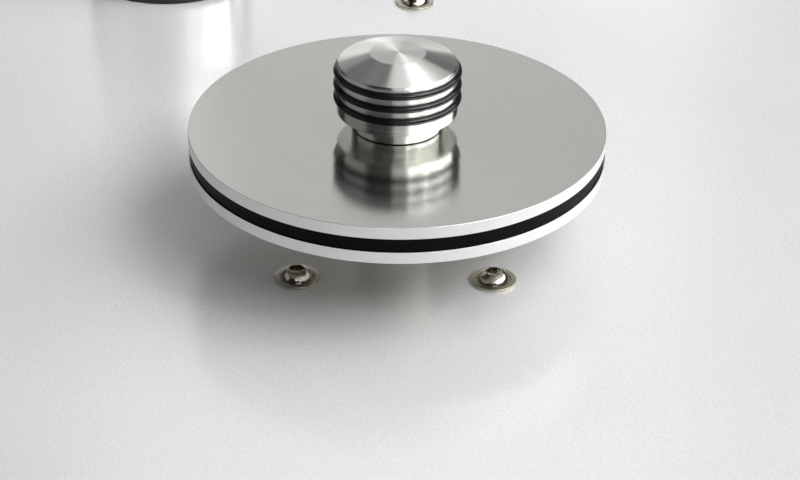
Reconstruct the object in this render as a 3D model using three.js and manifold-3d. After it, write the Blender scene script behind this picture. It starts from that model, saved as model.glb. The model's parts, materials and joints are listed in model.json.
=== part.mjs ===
// Record cleaning machine: a flat case with a label-size platter, a screwed label clamp and a suction arm
// that swings over the record. Millimetres, +Z up, front towards -Y. The origin lies on the ground under the
// middle of the whole machine.

import * as THREE from "three";
import { mergeVertices } from "three/addons/utils/BufferGeometryUtils.js";
import Module from "manifold-3d";

const wasm = await Module();
wasm.setup();

const degree = Math.PI / 180;
const turnAngle = 360 * degree;

// Clearances
const seat = 0.05; // between faces that rest on each other
const looseFit = 0.3; // round a piece that sits in a cut-out
const runningFit = 0.35; // round a piece that turns or slides
const overrun = 5; // by which a cutting body passes the face that it cuts

// Facets round a full turn
const discFacets = 60;
const matFacets = 48;
const knobFacets = 30;
const bodyFacets = 24;
const smallFacets = 16;
const screwFacets = 12;
const cornerSteps = 2; // each gives two facets to a quarter turn
const plateCornerSteps = 5;
const slotSteps = 1;

// Case
const plateWidth = 372;
const plateDepth = 360;
const plateThickness = 5;
const plateCorner = 12;
const plateChamfer = 1;
const plateOverhang = 4;
const innerHeight = 150;
const baseThickness = 3;
const postSide = 22;
const postCorner = 10;
const panelThickness = 4;
const panelRecess = 3;
const grooveDepth = 6;
const footHeight = 15;
const footTopRadius = 17;
const footBottomRadius = 14.5;
const footEdge = 1.5;
const footInset = 34;
const footRecessRadius = 5;
const footRecessDepth = 9;

// Ventilation slots
const slotWidth = 3;
const slotLength = 62;
const slotPitch = 9;
const rearSlots = 11;
const sideSlots = 7;
const baseSlots = 6;

// Place of the arm's tower: from the platter's axis, and from the plate's rear edge
const towerX = -71.5;
const towerY = 161.5;
const towerToRearEdge = 33.5;

// Platter and drive
const platterRadius = 52.5;
const platterThickness = 3.1;
const matThickness = 1.75;
const gasketThickness = 1.75;
const layerRecess = 0.4;
const discEdge = 0.25;
const clampTopHeight = 30.8; // of the clamp disc's top over the plate
const hubRadius = 9.65;
const hubFlangeRadius = 17;
const hubFlangeThickness = 3;
const hubDepth = 3; // below the plate's top
const shaftRadius = 5;
const shaftHeight = 12; // over the plate's top
const shaftDepthInGear = 18;
const sealRadius = 13;
const sealLipRise = 0.3; // over the plate's top
const sealLipWidth = 1.2;
const sealGroove = 1; // between its two lips, depth below the plate's top
const gearSide = 60;
const gearCorner = 6;
const gearFlange = 6;
const gearLength = 34;
const gearBodyInset = 1.5;
const motorSide = 60;
const motorCorner = 14;
const motorLength = 62;
const motorBellRadius = 22;
const motorBellLength = 7;

// Flanged socket screws
const screwFlangeRadius = 5.7;
const screwFlangeThickness = 0.75;
const screwHeadRadius = 4.25;
const screwHeadHeight = 2.75;
const screwCrownRadius = 2.35;
const screwShankRadius = 2.4;
const screwLength = 15;
const screwSocketAcross = 3;
const screwSocketDepth = 1.6;
const screwHoleRadius = 2.75;
const screwHoleSpare = 2;
const motorScrewPitch = 49;

// Spindle and label clamp
const spindleFlangeRadius = 10;
const spindlePinRadius = 3.55;
const spindleThreadRadius = 2.95;
const spindleStudLength = 10;
const spindlePinRise = 1.5; // of the pin over the clamp disc's top
const spindleTop = 14; // over the clamp disc's top
const washerRadius = 11.25;
const washerThickness = 0.35;
const thrustRadius = 11.4;
const thrustHeight = 3.6;
const thrustNeckRadius = 7;
const thrustNeckHeight = 2.4;
const knobRadius = 15.1;
const knobGap = 0.1;
const knobFootChamfer = 0.35;
const knobBandTop = 16.95;
const knobRimRadius = 14.75;
const knobRimHeight = 17.55;
const knobFlatRadius = 7;
const knobFlatHeight = 20.05;
const knobTipHeight = 20.35;
const knobBoreTop = 15.6;
const gripRingCord = 1.7;
const gripRingCentreRadius = 15.2;
const gripRingLowest = 8.35;
const gripRingPitch = 3.475;
const gripRingNames = ["lower", "middle", "upper"];
const grooveWidth = 1.95;
const grooveBottomRadius = 14.05;

// Suction arm: tower behind the record's edge, heights over the plate
const towerGasketRadius = 26;
const towerGasketThickness = 2.5;
const towerRadius = 25;
const towerTop = 27;
const towerChamfer = 0.8;
const sleeveRadius = 13;
const sleeveDepth = 30; // below the plate's top
const springPocketRadius = 15.2;
const springPocketFloor = 7;
const nutAcross = 36;
const nutThickness = 6;
const springRadius = 12.6; // to the wire's middle
const springWire = 1.5;
const springTurns = 5;
const springStepsPerTurn = 9;
const springSides = 3; // each gives two sides
const pipeRadius = 10;
const pipeWall = 2;
const collarRadius = 14.2;
const collarHeight = 5.2;
const liftTravel = 5;
const pipeLipRadius = 11.8;
const pipeLipThickness = 1.5;
const headRadius = 22;
const headTop = 53;
const headChamfer = 1.2;
const headRoof = 3;
const headGrooveDepth = 0.8;
const headGrooveWidth = 1.2;
const armBottom = 36;
const armHeight = 14;
const armWidth = 16;
const armCorner = 4;
const armWall = 1.5;
const armStart = 12.5;
const armReach = 121; // from the tower's axis to the end plug's face
const plugThickness = 3;
const plugSpigot = 5;
const slotStart = 27.5;
const slotToTip = 6;
const slotEnd = armReach - slotToTip;
const suctionSlotWidth = 1.8;
const velvetWidth = 5.2;
const velvetThickness = 2;
const velvetEndMargin = 3;
const portNearAngle = 30 * degree; // the pipe's window, to either side of the arm's swing
const armSwingAngle = 66 * degree;

// Vacuum turbine, hung under the plate
const turbineX = 4.7;
const turbineY = 110;
const turbineScrewReach = 29; // from the turbine's axis to each of its two screws
const turbineBossRadius = 7;
const coverTop = 38; // below the plate's underside
const coverRadius = 55;
const coverWall = 3;
const coverHeight = 30;
const plenumRadius = 25;
const plenumRoof = 8; // below the plate's underside
const portDrop = 23; // of the side port's axis below the plate's underside
const eyeRadius = 16;
const exhaustWidth = 14;
const exhaustHeight = 12;
const exhaustCount = 5;
const impellerRadius = 45;
const impellerDisc = 2;
const impellerHeight = 16;
const impellerHubRadius = 8;
const vaneCount = 8;
const vaneThickness = 1.6;
const vaneInnerRadius = 15;
const vaneSweepAngle = 55 * degree;
const vaneSteps = 5;
const impellerShaftRadius = 4;
const impellerShaftLength = 20;
const impellerRise = 4; // over the motor's pan
const turbinePanThickness = 4;
const turbineMotorRadius = 40;
const turbineFloorGap = 18; // between the motor's cap and the base plate
const turbineCapRadius = 18;
const turbineCapLength = 8;

// Waste tank on the base plate, heights over the base plate
const tankToPosts = 2;
const tankToTurbine = 5.7;
const tankToFrontPanel = 59;
const tankToRearPanel = 5;
const tankHeadroom = 62; // between its rim and the plate
const tankWall = 3;
const tankCorner = 14;
const lidThickness = 3;
const lidRimDepth = 5;
const nippleWall = 2;
const armNippleHeight = 14;
const turbineNippleHeight = 11;
const turbineNippleReach = 96.7; // of the lid's nipple from the turbine's axis

// Hoses
const hoseWall = 2;
const armHoseOverlap = 8; // over the tower's sleeve
const hoseNippleRadius = 9.7;
const hoseBend = 24;
const hoseFacets = 16;
const hoseBendSteps = 6;
const portReach = 48; // of the turbine's side port from its axis
const portHoseOverlap = 12;

// Drain tap through the rear panel
const drainHeight = 30; // over the ground
const drainShankRadius = 5;
const drainShankIntoTank = 5;
const drainFlangeAcross = 19;
const drainFlangeThickness = 3.5;
const drainBodyRadius = 8;
const drainBodyLength = 18;
const drainBarbRadius = 4;
const drainBarbRise = 0.7;
const drainBarbLength = 15;
const drainBoreRadius = 2.4;
const drainBoreDepth = 10;
const drainStemRadius = 3;
const drainStemHeight = 13; // over the tap's axis
const drainBossRadius = 9;
const leverHubRadius = 5.5;
const leverHubHeight = 5;
const leverLength = 26;
const leverWidth = 8;
const leverThickness = 3;

// Rocker switches in the front panel
const switchDrop = 40; // below the plate's underside
const switchInset = 46; // of the outer one from the case's side
const switchPitch = 40;
const bezelWidth = 22;
const bezelHeight = 30;
const bezelCorner = 2.5;
const bezelThickness = 2;
const switchBodyWidth = 19.4;
const switchBodyHeight = 27.6;
const switchBodyDepth = 24;
const pocketWidth = 17.4;
const pocketHeight = 24.9;
const pocketDepth = 11;
const rockerWidth = 16.7;
const rockerReach = 12; // of its ends from the pivot
const rockerPivotDepth = 3; // behind the panel's face
const rockerProud = 6.3; // of its ends in front of the pivot
const rockerDip = 4.6; // of its middle in front of the pivot
const rockerBackAngle = 70 * degree;
const rockerTiltAngle = 10 * degree;

// Mains inlet in the rear panel
const inletInset = 54; // from the case's side
const inletHeight = 52; // over the ground
const inletFlangeWidth = 31.5;
const inletFlangeHeight = 25;
const inletFlangeThickness = 2.2;
const inletFlangeCorner = 2.5;
const inletBodyWidth = 27.4;
const inletBodyHeight = 20.4;
const inletBodyDepth = 24;
const inletSocketWidth = 24.2;
const inletSocketHeight = 16.4;
const inletSocketCorner = 4.5;
const inletSocketDepth = 17;
const inletPinWidth = 2;
const inletPinHeight = 4;
const inletPinLength = 15;
const inletPinPitch = 14;
const inletPinRaise = 4;

// Derived heights over the ground and places
const baseTop = footHeight + baseThickness;
const deckUnderside = baseTop + innerHeight;
const deckTop = deckUnderside + plateThickness;
const caseWidth = plateWidth - plateOverhang - plateOverhang;
const caseDepth = plateDepth - plateOverhang - plateOverhang;
const platterAxisY = plateDepth / 2 - towerToRearEdge - towerY;
const frontFace = panelRecess - caseDepth / 2;
const rearFace = caseDepth / 2 - panelRecess;
const tapReach = drainFlangeThickness + drainBodyLength + drainBarbLength;
const rearmost = rearFace + seat + tapReach;
const originShift = (plateDepth / 2 - rearmost) / 2;
const layerRadius = platterRadius - layerRecess;
const clampDiscBottom = clampTopHeight - platterThickness;
const gasketBottom = clampDiscBottom - gasketThickness;
const matBottom = gasketBottom - matThickness;
const platterBottom = matBottom - platterThickness;
const collarBottom = towerTop + seat;
const collarTop = collarBottom + collarHeight;
const headBottom = collarTop + seat;
const headBore = pipeRadius + runningFit;
const pipeTop = headTop - headRoof - runningFit;
const tapZ = drainHeight - baseTop;
const tankLeft = postSide + tankToPosts - caseWidth / 2;
const tankRight = turbineX - coverRadius - tankToTurbine;
const tankFront = frontFace + panelThickness + tankToFrontPanel;
const tankBack = rearFace - panelThickness - tankToRearPanel;
const tankHeight = innerHeight - tankHeadroom;
const turbineMotorLength =
  innerHeight - coverTop - coverHeight - seat - turbinePanThickness - turbineCapLength - turbineFloorGap;
const vacuumSwitchX = caseWidth / 2 - switchInset;
const motorSwitchX = vacuumSwitchX - switchPitch;
const switchHeight = deckUnderside - switchDrop;
const inletX = caseWidth / 2 - inletInset;

// Shells round the boolean library
function solidOf(geometry) {
  const plain = geometry.index ? geometry.toNonIndexed() : geometry.clone();
  plain.deleteAttribute("normal");
  plain.deleteAttribute("uv");
  const merged = mergeVertices(plain, 1e-4);
  return new wasm.Manifold(
    new wasm.Mesh({
      numProp: 3,
      vertProperties: merged.attributes.position.array,
      triVerts: new Uint32Array(merged.index.array),
    }),
  );
}

function geometryOf(solid) {
  const mesh = solid.getMesh();
  const geometry = new THREE.BufferGeometry();
  const positions = new Float32Array(mesh.numVert * 3);
  for (let i = 0; i < mesh.numVert; i++) {
    const first = i * mesh.numProp;
    positions.set(mesh.vertProperties.subarray(first, first + 3), i * 3);
  }
  geometry.setAttribute("position", new THREE.BufferAttribute(positions, 3));
  geometry.setIndex(new THREE.BufferAttribute(new Uint32Array(mesh.triVerts), 1));
  return geometry;
}

function cut(geometry, ...tools) {
  return geometryOf(tools.reduce((rest, tool) => rest.subtract(solidOf(tool)), solidOf(geometry)));
}

function join(geometry, ...others) {
  return geometryOf(others.reduce((whole, other) => whole.add(solidOf(other)), solidOf(geometry)));
}

// Shapes. A turned piece's profile is a list of [radius, height] round the Z axis.
function turned(profile, facets) {
  const points = profile.map(([radius, height]) => new THREE.Vector2(radius, height));
  const [first, last] = [points[0], points.at(-1)];
  if (first.x > 0 || last.x > 0) {
    points.push(first.clone());
  }
  if (THREE.ShapeUtils.area(points) < 0) {
    points.reverse();
  }
  return new THREE.LatheGeometry(points, facets).rotateX(Math.PI / 2);
}

function ring(innerRadius, outerRadius, bottom, top, facets) {
  return turned(
    [
      [innerRadius, bottom],
      [outerRadius, bottom],
      [outerRadius, top],
      [innerRadius, top],
    ],
    facets,
  );
}

function rod(radius, bottom, top, facets) {
  return new THREE.CylinderGeometry(radius, radius, top - bottom, facets)
    .rotateX(Math.PI / 2)
    .translate(0, 0, (top + bottom) / 2);
}

function block([left, right], [front, back], [bottom, top]) {
  return new THREE.BoxGeometry(right - left, back - front, top - bottom).translate(
    (left + right) / 2,
    (front + back) / 2,
    (bottom + top) / 2,
  );
}

function roundedRectangle(width, height, radius) {
  const [x, y] = [width / 2 - radius, height / 2 - radius];
  const shape = new THREE.Shape();
  shape.absarc(x, y, radius, 0, turnAngle / 4);
  shape.absarc(-x, y, radius, turnAngle / 4, turnAngle / 2);
  shape.absarc(-x, -y, radius, turnAngle / 2, (turnAngle * 3) / 4);
  shape.absarc(x, -y, radius, (turnAngle * 3) / 4, turnAngle);
  shape.closePath();
  return shape;
}

function extruded(shape, depth, steps = cornerSteps) {
  return new THREE.ExtrudeGeometry(shape, { depth, bevelEnabled: false, curveSegments: steps });
}

function chamfered(shape, depth, chamfer, steps) {
  return new THREE.ExtrudeGeometry(shape, {
    depth: depth - chamfer - chamfer,
    bevelThickness: chamfer,
    bevelSize: chamfer,
    bevelOffset: -chamfer,
    bevelSegments: 1,
    curveSegments: steps,
  }).translate(0, 0, chamfer);
}

// Extrusion in the XZ plane, running from y = front towards the back
function extrudedBackwards(shape, front, depth, steps = cornerSteps) {
  return extruded(shape, depth, steps)
    .rotateX(Math.PI / 2)
    .translate(0, front + depth, 0);
}

function slots(count, middle, along) {
  return Array.from({ length: count }, (_, i) => along(middle + (i - (count - 1) / 2) * slotPitch));
}

// Case pieces, in case coordinates with the ground at z = 0
function topPlate() {
  const outline = roundedRectangle(plateWidth, plateDepth, plateCorner);
  const blank = chamfered(outline, plateThickness, plateChamfer, plateCornerSteps);
  const holes = [
    rod(sealRadius + looseFit, -overrun, plateThickness + overrun, bodyFacets),
    rod(sleeveRadius + looseFit, -overrun, plateThickness + overrun, bodyFacets).translate(towerX, towerY, 0),
    ...[...motorScrewPlaces(), ...turbineScrewPlaces()].map(([, x, y]) =>
      rod(screwHoleRadius, -overrun, plateThickness + overrun, screwFacets).translate(x, y, 0),
    ),
  ];
  return cut(blank, ...holes.map((hole) => hole.translate(0, platterAxisY, 0)));
}

function cornerPost() {
  const grooveNear = panelRecess - looseFit;
  const grooveFar = panelRecess + panelThickness + looseFit;
  const grooveFloor = postSide - grooveDepth;
  const section = new THREE.Shape();
  section.moveTo(postCorner, 0);
  section.lineTo(postSide, 0);
  section.lineTo(postSide, grooveNear);
  section.lineTo(grooveFloor, grooveNear);
  section.lineTo(grooveFloor, grooveFar);
  section.lineTo(postSide, grooveFar);
  section.lineTo(postSide, postSide);
  section.lineTo(grooveFar, postSide);
  section.lineTo(grooveFar, grooveFloor);
  section.lineTo(grooveNear, grooveFloor);
  section.lineTo(grooveNear, postSide);
  section.lineTo(0, postSide);
  section.lineTo(0, postCorner);
  section.absarc(postCorner, postCorner, postCorner, turnAngle / 2, (turnAngle * 3) / 4);
  return extruded(section, innerHeight - seat - seat);
}

function wallBlank(length) {
  const half = length / 2 - postSide + grooveDepth - looseFit;
  return block([-half, half], [0, panelThickness], [seat, innerHeight - seat]);
}

function verticalSlot(x) {
  const shape = roundedRectangle(slotWidth, slotLength, slotWidth / 2);
  return extrudedBackwards(shape, -overrun, panelThickness + overrun + overrun, slotSteps).translate(x, 0, innerHeight / 2);
}

function frontPanel() {
  const holeWidth = switchBodyWidth + looseFit + looseFit;
  const holeHeight = switchBodyHeight + looseFit + looseFit;
  const hole = roundedRectangle(holeWidth, holeHeight, looseFit);
  const holes = [motorSwitchX, vacuumSwitchX].map((x) =>
    extrudedBackwards(hole, -overrun, panelThickness + overrun + overrun).translate(x, 0, switchHeight - baseTop),
  );
  return cut(wallBlank(caseWidth), ...holes);
}

function rearPanel() {
  const inletHole = roundedRectangle(
    inletBodyWidth + looseFit + looseFit,
    inletBodyHeight + looseFit + looseFit,
    looseFit,
  );
  const through = panelThickness + overrun + overrun;
  return cut(
    wallBlank(caseWidth),
    ...slots(rearSlots, turbineX, verticalSlot),
    extrudedBackwards(inletHole, -overrun, through).translate(inletX, 0, inletHeight - baseTop),
    rod(drainShankRadius + looseFit, -overrun, panelThickness + overrun, smallFacets)
      .rotateX(-turnAngle / 4)
      .translate((tankLeft + tankRight) / 2, 0, tapZ),
  );
}

function rightPanel() {
  return cut(wallBlank(caseDepth), ...slots(sideSlots, 0, verticalSlot));
}

function basePlate() {
  const slot = roundedRectangle(slotWidth, slotLength, slotWidth / 2);
  const through = baseThickness + overrun + overrun;
  return cut(
    extruded(roundedRectangle(caseWidth, caseDepth, postCorner), baseThickness),
    ...slots(baseSlots, turbineX, (x) => extruded(slot, through, slotSteps).translate(x, platterAxisY, -overrun)),
    ...slots(baseSlots, turbineX, (x) => extruded(slot, through, slotSteps).translate(x, platterAxisY + turbineY, -overrun)),
  );
}

function foot() {
  return turned(
    [
      [footRecessRadius, 0],
      [footBottomRadius - footEdge, 0],
      [footBottomRadius, footEdge],
      [footTopRadius, footHeight - seat],
      [0, footHeight - seat],
      [0, footRecessDepth],
      [footRecessRadius, footRecessDepth],
    ],
    smallFacets,
  );
}

// Screws, in deck coordinates: z = 0 is the plate's top and the platter's axis is at x = y = 0
function motorScrewPlaces() {
  const half = motorScrewPitch / 2;
  return [
    ["front_left", -half, -half],
    ["front_right", half, -half],
    ["rear_left", -half, half],
    ["rear_right", half, half],
  ];
}

function turbineScrewPlaces() {
  return [
    ["rear", turbineX, turbineY + turbineScrewReach],
    ["front", turbineX, turbineY - turbineScrewReach],
  ];
}

function flangedScrew() {
  const domeShare = 0.72; // of the head's height, where the dome turns inwards
  const domeRadius = (screwHeadRadius + screwCrownRadius) / 2;
  const body = turned(
    [
      [0, -screwLength],
      [screwShankRadius, -screwLength],
      [screwShankRadius, seat],
      [screwFlangeRadius, seat],
      [screwFlangeRadius, screwFlangeThickness],
      [screwHeadRadius, screwFlangeThickness],
      [domeRadius, screwFlangeThickness + (screwHeadHeight - screwFlangeThickness) * domeShare],
      [screwCrownRadius, screwHeadHeight],
      [0, screwHeadHeight],
    ],
    screwFacets,
  );
  const socketRadius = screwSocketAcross / Math.sqrt(3);
  return cut(body, rod(socketRadius, screwHeadHeight - screwSocketDepth, screwHeadHeight + overrun, 6));
}

function screwHole(x, y, top) {
  const bottom = -screwLength - screwHoleSpare;
  return rod(screwHoleRadius, bottom, top, screwFacets).translate(x, y, 0);
}

// Drive
function gearhead() {
  const top = -plateThickness - seat;
  const bodySide = gearSide - gearBodyInset - gearBodyInset;
  const flange = extruded(roundedRectangle(gearSide, gearSide, gearCorner), gearFlange);
  const body = extruded(roundedRectangle(bodySide, bodySide, gearCorner), gearLength);
  return cut(
    join(flange.translate(0, 0, top - gearFlange), body.translate(0, 0, top - gearLength)),
    ...motorScrewPlaces().map(([, x, y]) => screwHole(x, y, top + overrun)),
    rod(shaftRadius + runningFit, top - shaftDepthInGear - looseFit, top + overrun, smallFacets),
  );
}

function driveMotor() {
  const top = -plateThickness - gearLength - seat - seat;
  const can = extruded(roundedRectangle(motorSide, motorSide, motorCorner), motorLength);
  const bell = rod(motorBellRadius, top - motorLength - motorBellLength, top - motorLength + seat, bodyFacets);
  return join(can.translate(0, 0, top - motorLength), bell);
}

function gearShaft() {
  const bottom = -plateThickness - seat - shaftDepthInGear;
  return rod(shaftRadius, bottom, shaftHeight, smallFacets);
}

function shaftSeal() {
  const bore = hubRadius + runningFit;
  return turned(
    [
      [bore, -plateThickness],
      [sealRadius, -plateThickness],
      [sealRadius, 0],
      [sealRadius - sealLipWidth, 0],
      [sealRadius - sealLipWidth, -sealGroove],
      [bore + sealLipWidth, -sealGroove],
      [bore, sealLipRise],
    ],
    bodyFacets,
  );
}

function platterHub() {
  const shaftBore = shaftRadius + looseFit;
  const studBore = spindleThreadRadius + looseFit;
  const top = platterBottom - seat;
  const studFloor = top - spindleStudLength + platterThickness;
  return turned(
    [
      [shaftBore, -hubDepth],
      [hubRadius, -hubDepth],
      [hubRadius, top - hubFlangeThickness],
      [hubFlangeRadius, top - hubFlangeThickness],
      [hubFlangeRadius, top],
      [studBore, top],
      [studBore, studFloor],
      [shaftBore, studFloor],
    ],
    bodyFacets,
  );
}

// Platter and clamp: discs with broken edges, heights over the plate
function disc(bore, radius, bottom, top) {
  return turned(
    [
      [bore, bottom],
      [radius - discEdge, bottom],
      [radius, bottom + discEdge],
      [radius, top - discEdge],
      [radius - discEdge, top],
      [bore, top],
    ],
    discFacets,
  );
}

function spindle() {
  const flangeBottom = matBottom;
  const flangeTop = gasketBottom - seat;
  const stud = platterBottom - spindleStudLength + platterThickness + seat;
  return turned(
    [
      [0, stud],
      [spindleThreadRadius, stud],
      [spindleThreadRadius, flangeBottom],
      [spindleFlangeRadius, flangeBottom],
      [spindleFlangeRadius, flangeTop],
      [spindlePinRadius, flangeTop],
      [spindlePinRadius, clampTopHeight + spindlePinRise],
      [spindleThreadRadius, clampTopHeight + spindlePinRise],
      [spindleThreadRadius, clampTopHeight + spindleTop],
      [0, clampTopHeight + spindleTop],
    ],
    smallFacets,
  );
}

// Knob pieces, with heights over the clamp disc's top
const thrustBottom = washerThickness + seat;
const thrustTop = thrustBottom + thrustHeight;
const knobBottom = thrustTop + knobGap;
const clampBore = spindlePinRadius + runningFit;

function thrustRing() {
  return turned(
    [
      [clampBore, thrustBottom],
      [thrustRadius, thrustBottom],
      [thrustRadius, thrustTop],
      [thrustNeckRadius, thrustTop],
      [thrustNeckRadius, thrustTop + thrustNeckHeight],
      [clampBore, thrustTop + thrustNeckHeight],
    ],
    bodyFacets,
  );
}

function gripRingHeight(i) {
  return gripRingLowest + i * gripRingPitch;
}

function clampKnob() {
  const neckBore = thrustNeckRadius + runningFit;
  const neckRoof = thrustTop + thrustNeckHeight + runningFit;
  const bore = spindleThreadRadius + runningFit;
  const grooves = gripRingNames.flatMap((_, i) => {
    const [low, high] = [gripRingHeight(i) - grooveWidth / 2, gripRingHeight(i) + grooveWidth / 2];
    return [
      [knobRadius, low],
      [grooveBottomRadius, low],
      [grooveBottomRadius, high],
      [knobRadius, high],
    ];
  });
  return turned(
    [
      [neckBore, knobBottom],
      [knobRadius - knobFootChamfer, knobBottom],
      [knobRadius, knobBottom + knobFootChamfer],
      ...grooves,
      [knobRadius, knobBandTop],
      [knobRimRadius, knobRimHeight],
      [knobFlatRadius, knobFlatHeight],
      [0, knobTipHeight],
      [0, knobBoreTop],
      [bore, knobBoreTop],
      [bore, neckRoof],
      [neckBore, neckRoof],
    ],
    knobFacets,
  );
}

function gripRing() {
  return new THREE.TorusGeometry(gripRingCentreRadius, gripRingCord / 2, 6, knobFacets);
}

// Suction arm, with the tower's axis at x = y = 0 and heights over the plate. The arm points along +X.
function armTower() {
  const bore = pipeRadius + runningFit;
  return turned(
    [
      [bore, -sleeveDepth],
      [sleeveRadius, -sleeveDepth],
      [sleeveRadius, towerGasketThickness + seat],
      [towerRadius, towerGasketThickness + seat],
      [towerRadius, towerTop - towerChamfer],
      [towerRadius - towerChamfer, towerTop],
      [springPocketRadius, towerTop],
      [springPocketRadius, springPocketFloor],
      [bore, springPocketFloor],
    ],
    knobFacets,
  );
}

function towerNut() {
  const top = -plateThickness - seat;
  const blank = rod(nutAcross / Math.sqrt(3), top - nutThickness, top, 6);
  return cut(blank, rod(sleeveRadius + looseFit, top - nutThickness - overrun, top + overrun, bodyFacets));
}

// A compression spring: one helix of round wire between the pocket's floor and the pipe's collar
function liftSpring() {
  const wireRadius = springWire / 2;
  const low = springPocketFloor + wireRadius + looseFit;
  const high = collarBottom - wireRadius - looseFit;
  const steps = springTurns * springStepsPerTurn;
  const points = Array.from({ length: steps + 1 }, (_, i) => {
    const angle = (turnAngle * i) / springStepsPerTurn;
    const height = low + ((high - low) * i) / steps;
    return new THREE.Vector3(springRadius * Math.cos(angle), springRadius * Math.sin(angle), height);
  });
  const section = new THREE.Shape();
  section.absarc(0, 0, wireRadius, 0, turnAngle);
  return new THREE.ExtrudeGeometry(section, {
    steps,
    curveSegments: springSides,
    extrudePath: new THREE.CatmullRomCurve3(points),
  });
}

// The pipe's window: open over the arm's swing, so that the arm always faces it
function liftPipe() {
  const inner = pipeRadius - pipeWall;
  const lipTop = -sleeveDepth - looseFit;
  const body = turned(
    [
      [inner, lipTop - pipeLipThickness],
      [pipeLipRadius, lipTop - pipeLipThickness],
      [pipeLipRadius, lipTop],
      [pipeRadius, lipTop],
      [pipeRadius, collarBottom],
      [collarRadius, collarBottom],
      [collarRadius, collarTop],
      [pipeRadius, collarTop],
      [pipeRadius, pipeTop],
      [inner, pipeTop],
    ],
    bodyFacets,
  );
  const window = new THREE.Shape();
  const farOut = pipeRadius + overrun;
  window.moveTo(0, 0);
  window.lineTo(farOut * Math.cos(armSwingAngle + portNearAngle), -farOut * Math.sin(armSwingAngle + portNearAngle));
  window.lineTo(farOut, -farOut);
  window.lineTo(farOut, farOut * Math.sin(portNearAngle));
  window.closePath();
  const windowHeight = armHeight - armWall - armWall;
  return cut(body, extruded(window, windowHeight).translate(0, 0, armBottom + armWall));
}

function armHead() {
  const grooveMiddle = (headBottom + armBottom) / 2;
  const roof = headTop - headRoof;
  const body = turned(
    [
      [headBore, headBottom],
      [headRadius - headChamfer, headBottom],
      [headRadius, headBottom + headChamfer],
      [headRadius, grooveMiddle + headChamfer],
      [headRadius - headGrooveDepth, grooveMiddle + headChamfer],
      [headRadius - headGrooveDepth, grooveMiddle + headChamfer + headGrooveWidth],
      [headRadius, grooveMiddle + headChamfer + headGrooveWidth],
      [headRadius, headTop - headChamfer],
      [headRadius - headChamfer, headTop],
      [0, headTop],
      [0, roof],
      [headBore, roof],
    ],
    knobFacets,
  );
  const half = armWidth / 2 + looseFit;
  return cut(body, block([0, headRadius + overrun], [-half, half], armSpan(looseFit)));
}

function armSpan(margin) {
  return [armBottom - margin, armBottom + armHeight + margin];
}

// A shape in the YZ plane, extruded along +X
function alongX(shape, start, end) {
  return extruded(shape, end - start)
    .rotateZ(turnAngle / 4)
    .rotateY(turnAngle / 4)
    .translate(start, 0, armBottom + armHeight / 2);
}

function armTube() {
  const end = armReach - plugThickness - seat;
  const section = roundedRectangle(armWidth, armHeight, armCorner);
  section.holes.push(
    roundedRectangle(armWidth - armWall - armWall, armHeight - armWall - armWall, armCorner - armWall),
  );
  const half = suctionSlotWidth / 2;
  const slot = block([slotStart, slotEnd], [-half, half], [armBottom - overrun, armBottom + armHeight / 2]);
  return cut(alongX(section, armStart, end), slot);
}

function armEndPlug() {
  const inset = armWall + looseFit;
  const spigot = roundedRectangle(armWidth - inset - inset, armHeight - inset - inset, armCorner - inset);
  const face = armReach - plugThickness;
  return join(
    alongX(roundedRectangle(armWidth, armHeight, armCorner), face, armReach),
    alongX(spigot, face - plugSpigot, face + seat),
  );
}

function velvetStrip(side) {
  const near = side * (suctionSlotWidth / 2);
  const far = side * (suctionSlotWidth / 2 + velvetWidth);
  const top = armBottom - seat;
  return block(
    [slotStart - velvetEndMargin, slotEnd + velvetEndMargin],
    [Math.min(near, far), Math.max(near, far)],
    [top - velvetThickness, top],
  );
}

// Turbine, with its axis at x = y = 0 and the plate's underside at z = 0
function turbineCover() {
  const roof = -coverTop;
  const bottom = roof - coverHeight;
  const shell = turned(
    [
      [coverRadius - coverWall, bottom],
      [coverRadius, bottom],
      [coverRadius, roof],
      [plenumRadius, roof],
      [plenumRadius, -plenumRoof],
      [0, -plenumRoof],
      [0, -plenumRoof - coverWall],
      [plenumRadius - coverWall, -plenumRoof - coverWall],
      [plenumRadius - coverWall, roof],
      [eyeRadius, roof],
      [eyeRadius, roof - coverWall],
      [coverRadius - coverWall, roof - coverWall],
    ],
    bodyFacets,
  );

  const port = (radius, near) => rod(radius, near, portReach, smallFacets).rotateY(-turnAngle / 4).translate(0, 0, -portDrop);
  const bosses = [-turbineScrewReach, turbineScrewReach].map((y) =>
    rod(turbineBossRadius, roof - coverWall / 2, -seat, screwFacets).translate(0, y, 0),
  );
  const nippleBore = hoseNippleRadius - nippleWall;
  const exhausts = Array.from({ length: exhaustCount }, (_, i) => {
    const half = exhaustWidth / 2;
    const angle = (turnAngle / 2 / (exhaustCount - 1)) * i;
    const middle = bottom + coverHeight / 2;
    const opening = block(
      [coverRadius - coverWall - overrun, coverRadius + overrun],
      [-half, half],
      [middle - exhaustHeight / 2, middle + exhaustHeight / 2],
    );
    return opening.rotateZ(angle);
  });
  return cut(
    join(shell, port(hoseNippleRadius, plenumRadius - coverWall / 2), ...bosses),
    port(nippleBore, plenumRadius - coverWall - overrun).scale(1 + nippleWall / portReach, 1, 1),
    ...exhausts,
    ...[-turbineScrewReach, turbineScrewReach].map((y) =>
      screwHole(0, y, overrun).translate(0, 0, plateThickness),
    ),
  );
}

// One vane: a thin arc that sweeps back as it runs out
function vane() {
  const outer = impellerRadius - vaneThickness;
  const side = (angleOffset) =>
    Array.from({ length: vaneSteps + 1 }, (_, i) => {
      const share = i / vaneSteps;
      const radius = vaneInnerRadius + (outer - vaneInnerRadius) * share;
      const angle = vaneSweepAngle * share * share + angleOffset / radius;
      return new THREE.Vector2(radius * Math.cos(angle), radius * Math.sin(angle));
    });
  const outline = [...side(-vaneThickness / 2), ...side(vaneThickness / 2).reverse()];
  return extruded(new THREE.Shape(outline), impellerHeight - impellerDisc / 2);
}

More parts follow.
